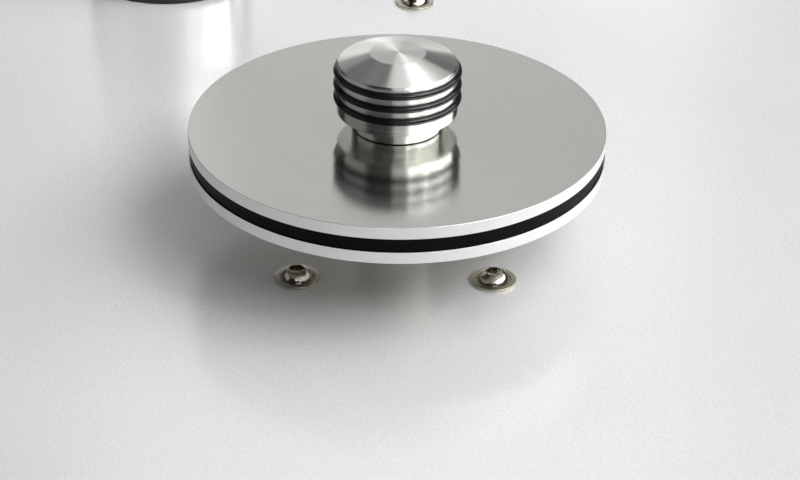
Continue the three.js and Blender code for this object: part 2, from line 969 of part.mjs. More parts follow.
function fanImpeller() {
  const hub = turned(
    [
      [0, -impellerRise - impellerShaftLength],
      [impellerShaftRadius, -impellerRise - impellerShaftLength],
      [impellerShaftRadius, 0],
      [impellerRadius, 0],
      [impellerRadius, impellerDisc],
      [impellerHubRadius, impellerDisc],
      [impellerHubRadius, impellerHeight],
      [0, impellerHeight],
    ],
    bodyFacets,
  );
  const vanes = Array.from({ length: vaneCount }, (_, i) =>
    vane()
      .rotateZ((turnAngle * i) / vaneCount)
      .translate(0, 0, impellerDisc / 2),
  );
  return join(hub, ...vanes);
}

function turbineMotor() {
  const bore = impellerShaftRadius + runningFit;
  const boreFloor = -impellerShaftLength - looseFit;
  const can = -turbinePanThickness - turbineMotorLength;
  return turned(
    [
      [bore, 0],
      [coverRadius, 0],
      [coverRadius, -turbinePanThickness],
      [turbineMotorRadius, -turbinePanThickness],
      [turbineMotorRadius, can],
      [turbineCapRadius, can],
      [turbineCapRadius, can - turbineCapLength],
      [0, can - turbineCapLength],
      [0, boreFloor],
      [bore, boreFloor],
    ],
    bodyFacets,
  );
}

// Waste tank, in case coordinates with the base plate's top at z = 0
const tankWidth = tankRight - tankLeft;
const tankDepth = tankBack - tankFront;
const tankMiddle = [(tankLeft + tankRight) / 2, (tankFront + tankBack) / 2];
const armNipple = [towerX, towerY + platterAxisY];
const turbineNipple = [turbineX - turbineNippleReach, turbineY + platterAxisY];

function wasteTank() {
  const [x, y] = tankMiddle;
  const inner = roundedRectangle(tankWidth - tankWall - tankWall, tankDepth - tankWall - tankWall, tankCorner - tankWall);
  const outside = extruded(roundedRectangle(tankWidth, tankDepth, tankCorner), tankHeight - seat);
  const inside = extruded(inner, tankHeight);
  const boss = rod(drainBossRadius, -tankWall / 2, rearFace - panelThickness - seat - tankBack, smallFacets);
  const hole = rod(drainShankRadius + looseFit, -tankWall - overrun, rearFace - tankBack, smallFacets);
  const atDrain = (tool) => tool.rotateX(-turnAngle / 4).translate(x, tankBack, tapZ);
  return cut(
    join(outside.translate(x, y, seat), atDrain(boss)),
    inside.translate(x, y, tankWall + seat),
    atDrain(hole),
  );
}

function tankLid() {
  const [x, y] = tankMiddle;
  const bottom = tankHeight + seat;
  const rimSide = tankWall + looseFit;
  const rimInner = rimSide + tankWall;
  const rim = roundedRectangle(tankWidth - rimSide * 2, tankDepth - rimSide * 2, tankCorner - rimSide);
  rim.holes.push(roundedRectangle(tankWidth - rimInner * 2, tankDepth - rimInner * 2, tankCorner - rimInner));
  const top = bottom + lidThickness;
  const tubes = [
    [armNipple, sleeveRadius, armNippleHeight],
    [turbineNipple, hoseNippleRadius, turbineNippleHeight],
  ];
  const nipples = tubes.map(([[nx, ny], radius, height]) =>
    rod(radius, bottom, top + height, smallFacets).translate(nx, ny, 0),
  );
  const bores = tubes.map(([[nx, ny], radius, height]) =>
    rod(radius - nippleWall, bottom - overrun, top + height + overrun, smallFacets).translate(nx, ny, 0),
  );
  return cut(
    join(
      extruded(roundedRectangle(tankWidth, tankDepth, tankCorner), lidThickness).translate(x, y, bottom),
      extruded(rim, lidRimDepth + lidThickness / 2).translate(x, y, bottom - lidRimDepth),
      ...nipples,
    ),
    ...bores,
  );
}

function armHose() {
  const inner = sleeveRadius + looseFit;
  const bottom = tankHeight + seat + lidThickness + looseFit;
  const top = innerHeight + plateThickness - sleeveDepth + armHoseOverlap;
  return ring(inner, inner + hoseWall, bottom, top, bodyFacets);
}

// Ring of points of a tube's section, square to the path
function hoseRing(radius, centre, across) {
  return Array.from({ length: hoseFacets }, (_, i) => {
    const angle = (turnAngle * i) / hoseFacets;
    return centre
      .clone()
      .addScaledVector(across, radius * Math.cos(angle))
      .add(new THREE.Vector3(0, radius * Math.sin(angle), 0));
  });
}

// Hose from the tank lid to the turbine's port: straight up, a quarter bend, then level, open at both ends
function turbineHose() {
  const inner = hoseNippleRadius + looseFit;
  const outer = inner + hoseWall;
  const [x, y] = turbineNipple;
  const portZ = innerHeight - portDrop;
  const bottom = tankHeight + seat + lidThickness + looseFit;
  const end = turbineX - portReach + portHoseOverlap;
  const frames = [[new THREE.Vector3(x, y, bottom), new THREE.Vector3(1, 0, 0)]];
  for (let i = 0; i <= hoseBendSteps; i++) {
    const turn = (turnAngle / 4) * (i / hoseBendSteps);
    const inwards = new THREE.Vector3(Math.cos(turn), 0, -Math.sin(turn));
    const centre = new THREE.Vector3(x + hoseBend, y, portZ - hoseBend).addScaledVector(inwards, -hoseBend);
    frames.push([centre, inwards]);
  }
  frames.push([new THREE.Vector3(end, y, portZ), new THREE.Vector3(0, 0, -1)]);
  const rings = [
    ...frames.map(([centre, across]) => hoseRing(outer, centre, across)),
    ...frames.map(([centre, across]) => hoseRing(inner, centre, across)).reverse(),
  ];
  const positions = rings.flat().flatMap((point) => point.toArray());
  const index = [];
  for (let r = 0; r < rings.length; r++) {
    const next = (r + 1) % rings.length;
    for (let i = 0; i < hoseFacets; i++) {
      const j = (i + 1) % hoseFacets;
      const [a, b] = [r * hoseFacets + i, r * hoseFacets + j];
      const [c, d] = [next * hoseFacets + j, next * hoseFacets + i];
      index.push(a, b, c, a, c, d);
    }
  }
  const hose = new THREE.BufferGeometry();
  hose.setAttribute("position", new THREE.Float32BufferAttribute(positions, 3));
  hose.setIndex(index);
  return hose;
}

// Drain tap: turned round its own axis, which is then laid along +Y, with y = 0 on the rear panel's face
function drainTap() {
  const shank = panelThickness + rearFace - panelThickness - tankBack + tankWall + drainShankIntoTank;
  const body = seat + drainFlangeThickness;
  const barb = body + drainBodyLength;
  const tip = seat + tapReach;
  const barbMiddle = (barb + tip) / 2;
  const turnedBody = turned(
    [
      [0, -shank],
      [drainShankRadius, -shank],
      [drainShankRadius, body - seat],
      [drainBodyRadius, body - seat],
      [drainBodyRadius, barb],
      [drainBarbRadius, barb],
      [drainBarbRadius, barbMiddle],
      [drainBarbRadius + drainBarbRise, barbMiddle],
      [drainBarbRadius, (barbMiddle + tip) / 2],
      [drainBarbRadius + drainBarbRise, (barbMiddle + tip) / 2],
      [drainBarbRadius - drainBarbRise, tip],
      [drainBoreRadius, tip],
      [drainBoreRadius, tip - drainBoreDepth],
      [0, tip - drainBoreDepth],
    ],
    smallFacets,
  );
  const flange = rod(drainFlangeAcross / Math.sqrt(3), seat, body, 6);
  const stem = rod(drainStemRadius, 0, drainStemHeight, smallFacets).translate(0, body + drainBodyLength / 2, 0);
  return join(join(turnedBody, flange).rotateX(-turnAngle / 4), stem);
}

function drainLever() {
  const bottom = drainBodyRadius + looseFit;
  const bore = rod(drainStemRadius + runningFit, bottom - overrun, drainStemHeight + runningFit, smallFacets);
  const top = drainStemHeight + runningFit + leverThickness;
  const hub = rod(leverHubRadius, bottom, top, smallFacets);
  const grip = extruded(roundedRectangle(leverLength, leverWidth, leverWidth / 2), leverThickness);
  return cut(join(hub, grip.translate(leverLength / 2 - leverWidth / 2, 0, top - leverThickness)), bore);
}

// Switches, with y = 0 on the front panel's face and z = 0 in the rocker's middle
function rockerSwitch() {
  const bezel = extrudedBackwards(
    roundedRectangle(bezelWidth, bezelHeight, bezelCorner),
    -bezelThickness - seat,
    bezelThickness,
  );
  const body = block(
    [-switchBodyWidth / 2, switchBodyWidth / 2],
    [-bezelThickness, switchBodyDepth],
    [-switchBodyHeight / 2, switchBodyHeight / 2],
  );
  const pocket = block(
    [-pocketWidth / 2, pocketWidth / 2],
    [-bezelThickness - overrun, pocketDepth],
    [-pocketHeight / 2, pocketHeight / 2],
  );
  return cut(join(bezel, body), pocket);
}

// Rocker: a seesaw whose ends are arcs round its pivot, seen along X, drawn as (height, forwards)
function rocker(tilt) {
  const endAngle = Math.PI / 2 + Math.asin(rockerProud / rockerReach);
  const section = new THREE.Shape();
  section.moveTo(-rockerDip, 0);
  section.absarc(0, 0, rockerReach, endAngle, rockerBackAngle, true);
  section.absarc(0, 0, rockerReach, -rockerBackAngle, -endAngle, true);
  section.closePath();
  return extruded(section, rockerWidth)
    .rotateX(turnAngle / 4)
    .rotateZ(turnAngle / 4)
    .translate(-rockerWidth / 2, 0, 0)
    .rotateX(tilt);
}

// Mains inlet, with y = 0 on the rear panel's face and the socket open towards +Y
function mainsInlet() {
  const flange = roundedRectangle(inletFlangeWidth, inletFlangeHeight, inletFlangeCorner);
  const face = seat + inletFlangeThickness;
  const body = block(
    [-inletBodyWidth / 2, inletBodyWidth / 2],
    [-inletBodyDepth, face - seat],
    [-inletBodyHeight / 2, inletBodyHeight / 2],
  );
  const socket = new THREE.Shape();
  const [right, top] = [inletSocketWidth / 2, inletSocketHeight / 2];
  socket.moveTo(-right, -top);
  socket.lineTo(right, -top);
  socket.lineTo(right, top - inletSocketCorner);
  socket.lineTo(right - inletSocketCorner, top);
  socket.lineTo(inletSocketCorner - right, top);
  socket.lineTo(-right, top - inletSocketCorner);
  socket.closePath();
  const floor = face - inletSocketDepth;
  const pins = [-1, 0, 1].map((side) => {
    const x = (side * inletPinPitch) / 2;
    const z = side === 0 ? inletPinRaise / 2 : -inletPinRaise / 2;
    return block(
      [x - inletPinWidth / 2, x + inletPinWidth / 2],
      [floor - seat, floor + inletPinLength],
      [z - inletPinHeight / 2, z + inletPinHeight / 2],
    );
  });
  const shell = cut(
    join(extrudedBackwards(flange, seat, inletFlangeThickness), body),
    extrudedBackwards(socket, floor, inletSocketDepth + overrun),
  );
  return join(shell, ...pins);
}

// Finishes: colour, roughness, metalness
const finishes = {
  satinPlate: [0xd9dadb, 0.45, 0.9],
  turnedAluminium: [0xc9c9c6, 0.25, 1],
  brushedAluminium: [0xc4c3bd, 0.3, 1],
  anodised: [0xb9bbbd, 0.4, 0.9],
  blackPaint: [0x1b1c1e, 0.55, 0.1],
  blackRubber: [0x111111, 0.7, 0],
  blackPlastic: [0x17181a, 0.4, 0],
  greyPlastic: [0x55585c, 0.5, 0],
  clearPlastic: [0xcdd6d8, 0.25, 0],
  steel: [0xb5b1a8, 0.25, 1],
  castAluminium: [0x8f9295, 0.5, 0.8],
  brassNickel: [0xc2bfb4, 0.25, 1],
  velvet: [0x0c0c0e, 1, 0],
};

function piece(name, geometry, finish, [x, y, z] = [0, 0, 0]) {
  const [color, roughness, metalness] = finishes[finish];
  const mesh = new THREE.Mesh(geometry, new THREE.MeshStandardMaterial({ color, roughness, metalness }));
  mesh.name = name;
  mesh.position.set(x, y, z);
  return mesh;
}

function group([x, y, z], ...children) {
  const made = new THREE.Group();
  made.position.set(x, y, z);
  made.add(...children);
  return made;
}

// Corner places: name, side along X, side along Y and the turn that brings the piece's corner there
const corners = [
  ["front_left", -1, -1, 0],
  ["front_right", 1, -1, 1],
  ["rear_right", 1, 1, 2],
  ["rear_left", -1, 1, 3],
];

function makeCase() {
  const posts = corners.map(([name, sx, sy, quarter]) =>
    piece("corner_post_" + name, cornerPost().rotateZ((quarter * turnAngle) / 4), "anodised", [
      (sx * caseWidth) / 2,
      (sy * caseDepth) / 2,
      baseTop + seat,
    ]),
  );
  const feet = corners.map(([name, sx, sy]) =>
    piece("foot_" + name, foot(), "blackRubber", [
      sx * (caseWidth / 2 - footInset),
      sy * (caseDepth / 2 - footInset),
      0,
    ]),
  );
  const sideFace = caseWidth / 2 - panelRecess;
  return group(
    [0, 0, 0],
    piece("top_plate", topPlate(), "satinPlate", [0, 0, deckUnderside]),
    piece("front_panel", frontPanel(), "satinPlate", [0, frontFace, baseTop]),
    piece("rear_panel", rearPanel(), "blackPaint", [0, rearFace - panelThickness, baseTop]),
    piece("left_panel", wallBlank(caseDepth).rotateZ(turnAngle / 4), "blackPaint", [
      panelThickness - sideFace,
      0,
      baseTop,
    ]),
    piece("right_panel", rightPanel().rotateZ(turnAngle / 4), "blackPaint", [sideFace, 0, baseTop]),
    piece("base_plate", basePlate(), "blackPaint", [0, 0, footHeight]),
    ...posts,
    ...feet,
  );
}

function makeDrive() {
  return group(
    [0, 0, 0],
    piece("gearhead", gearhead(), "castAluminium"),
    piece("drive_motor", driveMotor(), "blackPaint"),
    piece("gear_shaft", gearShaft(), "steel"),
    piece("shaft_seal", shaftSeal(), "blackRubber"),
    ...motorScrewPlaces().map(([name, x, y]) => piece("motor_screw_" + name, flangedScrew(), "steel", [x, y, 0])),
  );
}

function makePlatter() {
  const spindleHole = spindleThreadRadius + looseFit;
  const flangeHole = spindleFlangeRadius + looseFit;
  return group(
    [0, 0, 0],
    piece("platter_hub", platterHub(), "turnedAluminium"),
    piece(
      "platter_disc",
      disc(spindleHole, platterRadius, platterBottom, matBottom - seat),
      "brushedAluminium",
    ),
    piece("platter_mat", ring(flangeHole, layerRadius, matBottom, gasketBottom - seat, matFacets), "blackRubber"),
    piece("spindle", spindle(), "steel"),
    piece(
      "clamp_gasket",
      ring(flangeHole, layerRadius, gasketBottom, clampDiscBottom - seat, matFacets),
      "blackRubber",
    ),
    piece("clamp_disc", disc(clampBore, platterRadius, clampDiscBottom, clampTopHeight), "brushedAluminium"),
  );
}

function makeKnob() {
  return group(
    [0, 0, clampTopHeight],
    piece("knob_washer", ring(clampBore, washerRadius, seat, washerThickness, bodyFacets), "blackRubber"),
    piece("thrust_ring", thrustRing(), "turnedAluminium"),
    piece("clamp_knob", clampKnob(), "turnedAluminium"),
    ...gripRingNames.map((name, i) =>
      piece("knob_ring_" + name, gripRing(), "blackRubber", [0, 0, gripRingHeight(i)]),
    ),
  );
}

function makeArm() {
  const gasketBore = sleeveRadius + looseFit;
  return group(
    [towerX, towerY, 0],
    piece(
      "tower_gasket",
      ring(gasketBore, towerGasketRadius, seat, towerGasketThickness, knobFacets),
      "blackRubber",
    ),
    piece("arm_tower", armTower(), "turnedAluminium"),
    piece("tower_nut", towerNut(), "steel"),
    piece("lift_spring", liftSpring(), "steel"),
    piece("lift_pipe", liftPipe(), "steel"),
    piece("arm_head", armHead(), "turnedAluminium"),
    piece("arm_tube", armTube(), "anodised"),
    piece("arm_end_plug", armEndPlug(), "blackPlastic"),
    piece("velvet_strip_front", velvetStrip(-1), "velvet"),
    piece("velvet_strip_rear", velvetStrip(1), "velvet"),
  );
}

function makeTurbine() {
  const panTop = -coverTop - coverHeight - seat;
  return group(
    [turbineX, turbineY, -plateThickness],
    piece("turbine_cover", turbineCover(), "greyPlastic"),
    piece("fan_impeller", fanImpeller(), "blackPlastic", [0, 0, panTop + impellerRise]),
    piece("turbine_motor", turbineMotor(), "castAluminium", [0, 0, panTop]),
  );
}

function makeWaste() {
  return group(
    [0, 0, baseTop],
    piece("waste_tank", wasteTank(), "clearPlastic"),
    piece("tank_lid", tankLid(), "greyPlastic"),
    piece("arm_hose", armHose(), "blackRubber", [...armNipple, 0]),
    piece("turbine_hose", turbineHose(), "blackRubber"),
  );
}

function makeRear() {
  const stemPlace = seat + drainFlangeThickness + drainBodyLength / 2;
  return group(
    [0, rearFace, 0],
    piece("drain_tap", drainTap(), "brassNickel", [tankMiddle[0], 0, drainHeight]),
    piece("drain_lever", drainLever(), "blackPlastic", [tankMiddle[0], stemPlace, drainHeight]),
    piece("mains_inlet", mainsInlet(), "blackPlastic", [inletX, 0, inletHeight]),
  );
}

function makeSwitches() {
  const parked = [
    ["motor", motorSwitchX, 0],
    ["vacuum", vacuumSwitchX, rockerTiltAngle],
  ];
  return group(
    [0, frontFace, switchHeight],
    ...parked.flatMap(([name, x, tilt]) => [
      piece(name + "_switch", rockerSwitch(), "blackPlastic", [x, 0, 0]),
      piece(name + "_rocker", rocker(tilt), "blackPlastic", [x, rockerPivotDepth, 0]),
    ]),
  );
}

const machine = group(
  [0, originShift, 0],
  makeCase(),
  makeWaste(),
  makeRear(),
  makeSwitches(),
  group(
    [0, platterAxisY, deckTop],
    makeDrive(),
    makePlatter(),
    makeKnob(),
    makeArm(),
    makeTurbine(),
    ...turbineScrewPlaces().map(([name, x, y]) => piece("turbine_screw_" + name, flangedScrew(), "steel", [x, y, 0])),
  ),
);

export default machine;
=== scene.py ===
"""A record cleaning machine: a satin deck, a label-size platter under a screwed clamp, and a suction arm."""

import json
import math

import bmesh
import bpy
import numpy as np
from mathutils import Matrix, Vector


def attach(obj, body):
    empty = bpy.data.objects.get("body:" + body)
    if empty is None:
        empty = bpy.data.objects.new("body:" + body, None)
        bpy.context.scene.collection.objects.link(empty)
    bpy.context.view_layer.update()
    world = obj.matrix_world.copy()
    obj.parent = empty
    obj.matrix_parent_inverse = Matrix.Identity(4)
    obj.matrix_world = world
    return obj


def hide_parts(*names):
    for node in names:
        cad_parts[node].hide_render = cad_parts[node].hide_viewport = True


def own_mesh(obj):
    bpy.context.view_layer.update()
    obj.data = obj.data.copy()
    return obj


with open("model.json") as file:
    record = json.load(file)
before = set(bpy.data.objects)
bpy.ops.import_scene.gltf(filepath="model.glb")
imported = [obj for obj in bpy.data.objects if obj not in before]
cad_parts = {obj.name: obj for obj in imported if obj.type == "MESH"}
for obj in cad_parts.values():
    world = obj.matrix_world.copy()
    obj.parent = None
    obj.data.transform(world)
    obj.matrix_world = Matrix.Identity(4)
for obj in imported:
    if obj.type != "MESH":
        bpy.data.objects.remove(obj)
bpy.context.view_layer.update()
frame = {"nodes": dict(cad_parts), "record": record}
bpy.context.scene.view_settings.view_transform = "Standard"

MM = 0.001
TURN = 2 * math.pi

# Places, in millimetres over the ground
AXIS = np.array([0.0, -29.775, 173.0])  # the platter's axis on the deck
CLAMP_TOP = 30.8  # the clamp disc's top over the deck
TOWER = AXIS + [-71.5, 161.5, 0.0]
TURBINE = AXIS + [4.7, 110.0, 0.0]
KNOB = AXIS + [0.0, 0.0, CLAMP_TOP]
MIDDLE = -14.775  # the case's middle from front to rear
FRONT = -187.775  # the front panel's face
ROCKER_PIVOT = FRONT + 3
REAR = np.array([0, 158.225, 0])  # the rear panel's face
ARM_HEIGHT = 43  # the suction tube's middle over the deck

# Sizes that more than one piece shares, in millimetres
DISC_RADIUS = 52.5
LAYER_BORE, LAYER_RADIUS = 10.3, 52.1
RING_HEIGHTS = {"lower": 8.35, "middle": 11.825, "upper": 15.3}


# ---- Surfaces ----

def rounded(corners, radius, steps=6, closed=True):
    """Outline through the corners with each corner turned into a circular arc.

    The arc is the rational quadratic curve from one tangent point to the other with the corner as its middle
    point and the cosine of half the turn as its weight. A point shortly before and after it keeps the gloss of the
    straight stretches flat.
    """
    corner = np.asarray(corners, float)
    reach = np.broadcast_to(np.asarray(radius, float), len(corner)).copy()
    if not closed:
        reach[[0, -1]] = 0
    back = np.roll(corner, 1, axis=0) - corner
    ahead = np.roll(corner, -1, axis=0) - corner
    length = np.linalg.norm(ahead, axis=1)
    back /= np.linalg.norm(back, axis=1, keepdims=True) + 1e-12
    ahead /= length[:, None] + 1e-12
    half = np.arccos(np.clip((back * ahead).sum(axis=1), -1, 1)) / 2
    tangent = (reach / np.maximum(np.tan(half), 1e-6))[:, None]
    weight = np.sin(half)[:, None, None]
    s = np.linspace(0, 1, steps)[None, :, None]
    start, end = (corner + back * tangent)[:, None], (corner + ahead * tangent)[:, None]
    top = (1 - s) ** 2 * start + 2 * weight * s * (1 - s) * corner[:, None] + s ** 2 * end
    arcs = top / ((1 - s) ** 2 + 2 * weight * s * (1 - s) + s ** 2)
    free = np.maximum(length - tangent[:, 0] - np.roll(tangent[:, 0], -1), 0)
    margin = 0.25 * tangent[:, 0] + 0.03  # where there is room: at most a fifth of the straight stretch
    before, after = np.minimum(margin, 0.2 * np.roll(free, 1)), np.minimum(margin, 0.2 * free)
    if not closed:
        before[0] = after[-1] = 0
    lead, trail = start + (back * before[:, None])[:, None], end + (ahead * after[:, None])[:, None]
    points = np.concatenate([lead, arcs, trail], axis=1).reshape(-1, 2)
    apart = np.linalg.norm(np.diff(points, axis=0), axis=1) > 1e-6
    return points[np.concatenate([[True], apart])]


def sheet(points, closed_u=False, closed_v=False):
    """Quads over a grid of points: u runs down the first index and v along the second."""
    rows, columns = points.shape[:2]
    index = np.arange(rows * columns).reshape(rows, columns)
    if closed_u:
        index = np.vstack([index, index[:1]])
    if closed_v:
        index = np.hstack([index, index[:, :1]])
    quads = np.stack([index[:-1, :-1], index[1:, :-1], index[1:, 1:], index[:-1, 1:]], axis=-1)
    return points.reshape(-1, 3), quads.reshape(-1, 4)


def turned(outline, centre, closed=True, segments=192):
    """Solid of revolution: x = r cos t, y = r sin t, z = h, with (r, h) along the outline and t round the axis."""
    outline = np.asarray(outline, float)
    r, h = outline[:, 0], outline[:, 1]
    area = (r * np.roll(h, -1) - np.roll(r, -1) * h).sum()
    if area < 0:
        r, h = r[::-1], h[::-1]
    t = np.linspace(0, TURN, segments, endpoint=False)
    points = np.stack([np.outer(r, np.cos(t)), np.outer(r, np.sin(t)), np.outer(h, np.ones_like(t))], axis=-1)
    points = points[:, ::-1]
    return sheet(points + centre, closed_u=closed, closed_v=True)


def ring(centre, radius, cord, segments=160, steps=28):
    """Torus: x = (R + c cos s) cos t, y = (R + c cos s) sin t, z = c sin s."""
    s = np.linspace(0, TURN, steps, endpoint=False)
    outline = np.stack([radius + cord * np.cos(s), cord * np.sin(s)], axis=-1)
    return turned(outline, centre, segments=segments)


def join(*parts):
    """Several point and face arrays as one."""
    points, faces, first = [], [], 0
    for part_points, part_faces in parts:
        points.append(part_points)
        faces.append(part_faces + first)
        first += len(part_points)
    return np.vstack(points), np.vstack(faces)


def oblong(width, height, corner, steps=8):
    """A rounded rectangle round the origin, anticlockwise from its right side: four quarter circles with a point
    before and after each, so that its points are as many at any size.
    """
    t = np.linspace(0, TURN / 4, steps)
    arc = np.stack([np.cos(t), np.sin(t)], axis=-1) * corner
    middle = np.array([width / 2 - corner, height / 2 - corner])
    aside = np.minimum(0.4 * middle, 0.25)
    arc = np.vstack([arc[0] - [0, aside[1]], arc, arc[-1] - [aside[0], 0]])
    quarters = [(1, 1, arc), (-1, 1, arc[::-1]), (-1, -1, arc), (1, -1, arc[::-1])]
    return np.vstack([(middle + points) * [sx, sy] for sx, sy, points in quarters])


def hexagon(across, widest, segments=96):
    """A hexagon whose corners are cut off by a circle: half its width over cos(t mod 60 degrees - 30 degrees)."""
    t = np.linspace(0, TURN, segments, endpoint=False)
    r = np.minimum(across / 2 / np.cos(np.mod(t, TURN / 6) - TURN / 12), widest)
    return np.stack([r * np.cos(t), r * np.sin(t)], axis=-1)


def outward(part):
    """The part with its faces turned about where the volume that they hold comes out negative."""
    points, faces = part
    a, b, c, d = (points[faces[:, i]] - points.mean(axis=0) for i in range(4))
    volume = np.einsum("ij,ij->", a, np.cross(b, c)) + np.einsum("ij,ij->", a, np.cross(c, d))
    return points, faces if volume > 0 else faces[:, ::-1]


def lofted(outlines, stations, lay):
    """A skin over closed outlines, each at its station along an axis, with both ends drawn together to a point.

    A ring slightly inside each end keeps its gloss flat. lay places the outlines' two directions and the stations,
    each in millimetres, as x, y and z.
    """
    rows = np.array(outlines)
    inwards = np.array([1, 0.04])[:, None, None]
    first, last = (end + (end.mean(axis=0) - end) * inwards for end in (rows[0], rows[-1]))
    rows = np.concatenate([first, rows, last[::-1]])
    along = np.concatenate([stations[:1], stations[:1], stations, stations[-1:], stations[-1:]])[:, None]
    along = along + 0 * rows[..., 0]
    return outward(sheet(np.stack(lay(rows[..., 0], rows[..., 1], along), axis=-1), closed_v=True))


def about_y(part, centre):
    """A part made round the vertical axis at the origin, its axis turned to +Y and set in its place."""
    points, faces = part
    return points[:, [0, 2, 1]] * [1, 1, -1] + centre, faces


def build(name, parts, body, finish, replaces=(), crease=35, upright=None):
    """A piece from point and face arrays in millimetres, in its place, smooth but for creases over an angle.

    Its upright faces may have a finish of their own.
    """
    points, faces = parts
    if isinstance(faces, np.ndarray):
        faces = faces.tolist()
    mesh = bpy.data.meshes.new(name)
    mesh.from_pydata((points * MM).tolist(), [], faces)
    shell = bmesh.new()
    shell.from_mesh(mesh)
    bmesh.ops.remove_doubles(shell, verts=shell.verts, dist=2e-7)
    shell.to_mesh(mesh)
    shell.free()
    mesh.shade_smooth()
    mesh.set_sharp_from_angle(angle=math.radians(crease))
    piece = bpy.data.objects.new(name, mesh)
    bpy.context.scene.collection.objects.link(piece)
    piece.data.materials.append(finish)
    if upright:
        piece.data.materials.append(upright)
        normals = np.empty(3 * len(mesh.polygons))
        mesh.polygons.foreach_get("normal", normals)
        steep = np.abs(normals[2::3]) < 0.7
        mesh.polygons.foreach_set("material_index", steep.astype(np.int32))
    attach(piece, body)
    if replaces:
        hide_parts(*replaces)
    return piece


# ---- Finishes ----

class Signal:
    """A socket whose arithmetic adds Math nodes."""

    def __init__(self, nodes, socket):
        self.nodes, self.socket = nodes, socket

    def math(self, operation, *values):
        return self.nodes.node("Math", {"operation": operation}, *values)

    def clamped(self):
        return self.nodes.node("Clamp", {}, self)

    def __add__(self, other):
        return self.math("ADD", self, other)

    def __radd__(self, other):
        return self.math("ADD", other, self)

    def __sub__(self, other):
        return self.math("SUBTRACT", self, other)

    def __rsub__(self, other):
        return self.math("SUBTRACT", other, self)

    def __mul__(self, other):
        return self.math("MULTIPLY", self, other)

    def __rmul__(self, other):
        return self.math("MULTIPLY", other, self)

    def __truediv__(self, other):
        return self.math("DIVIDE", self, other)

    def __pow__(self, other):
        return self.math("POWER", self, other)


class Nodes:
    """A node tree whose nodes come from one method."""

    def __init__(self, tree):
        self.tree = tree

    def node(self, kind, settings, *values, output=0, **named):
        """A node of a kind, with its settings, then the values or links of its sockets by place or by name."""
        made = self.tree.nodes.new("ShaderNode" + kind)
        for key, value in settings.items():
            if key == "color_ramp":
                for stop, (position, colour) in zip(made.color_ramp.elements, value):
                    stop.position, stop.color = position, colour
            else:
                setattr(made, key, value)
        for key, value in [*enumerate(values), *named.items()]:
            socket = made.inputs[key]
            if isinstance(value, Signal):
                self.tree.links.new(value.socket, socket)
            else:
                socket.default_value = value
        return Signal(self, made.outputs[output])

    def split(self, point):
        """The three coordinates of a point."""
        parts = self.node("SeparateXYZ", {}, point)
        return [Signal(self, parts.socket.node.outputs[i]) for i in range(3)]

    def backdrop(self, mirrored):
        """1 for the camera's rays, and a share for the rays by which metal and glass show the background."""
        camera, glossy, through = (self.node("LightPath", {}, output="Is %s Ray" % kind)
                                   for kind in ("Camera", "Glossy", "Transmission"))
        return camera + (glossy + through) * mirrored

    def surface(self, amount, first, second, output):
        """The output shows a mix of two shaders."""
        mixed = self.node("MixShader", {}, amount, first, second)
        self.tree.links.new(mixed.socket, self.tree.nodes[output].inputs["Surface"])


class Finish(Nodes):
    """A Principled material with the constants set on its sockets."""

    def __init__(self, name, colour, roughness, metallic=0.0, **constants):
        self.material = bpy.data.materials.new(name)
        self.material.use_nodes = True
        super().__init__(self.material.node_tree)
        self.shader = self.tree.nodes["Principled BSDF"]
        self.colour = colour
        self.shader.inputs["Base Color"].default_value = (*colour, 1)
        self.shader.inputs["Roughness"].default_value = roughness
        self.shader.inputs["Metallic"].default_value = metallic
        for socket, value in constants.items():
            self.shader.inputs[socket.replace("_", " ")].default_value = value

    def feed(self, socket, signal):
        """The signal drives a socket of the shader."""
        self.tree.links.new(signal.socket, self.shader.inputs[socket])

    def place(self, centre=(0, 0, 0), scale=(1, 1, 1)):
        """Object coordinates, centred in millimetres and scaled."""
        point = self.node("TexCoord", {}, output="Object")
        shift = tuple(-c * MM * s for c, s in zip(centre, scale))
        return self.node("Mapping", {}, point, Location=shift, Scale=scale)

    def noise(self, point, per_metre, detail=2.0, rough=0.55):
        """Noise from -0.5 to 0.5 with features of about a metre over the given number."""
        made = self.node("TexNoise", {}, point, Scale=per_metre, Detail=detail, Roughness=rough)
        return made - 0.5

    def tint(self, amount, dark, light):
        """A colour between two, by an amount from 0 to 1, through a colour ramp."""
        stops = {"color_ramp": [(0.0, (*dark, 1)), (1.0, (*light, 1))]}
        return self.node("ValToRGB", stops, amount)

    def vary(self, amount, spread):
        """The base colour, darker and lighter by a share along an amount from -0.5 to 0.5."""
        dark = [c * (1 - spread) for c in self.colour]
        light = [min(c * (1 + spread), 1.0) for c in self.colour]
        self.feed("Base Color", self.tint(amount + 0.5, dark, light))

    def bump(self, height, depth_mm):
        """Relief of a depth in millimetres under the height signal."""
        self.feed("Normal", self.node("Bump", {}, Strength=1.0, Distance=depth_mm * MM, Height=height))


def grained(name, colour, roughness, metallic, grain, cloud, **constants):
    """Fine grain in colour, roughness and relief, over slow clouds of roughness.

    The grain is its density a metre and its shares of tone, roughness and depth in millimetres, and the clouds are
    their density and their share of roughness.
    """
    finish = Finish(name, colour, roughness, metallic, **constants)
    point = finish.place()
    density, tone, rough, depth = grain
    cloud_density, cloud_rough = cloud
    fine = finish.noise(point, density)
    slow = finish.noise(point, cloud_density)
    finish.vary(fine + slow * 0.5, tone * 2)
    finish.feed("Roughness", roughness + fine * rough * 2 + slow * cloud_rough * 2)
    finish.bump(fine, depth)
    return finish.material


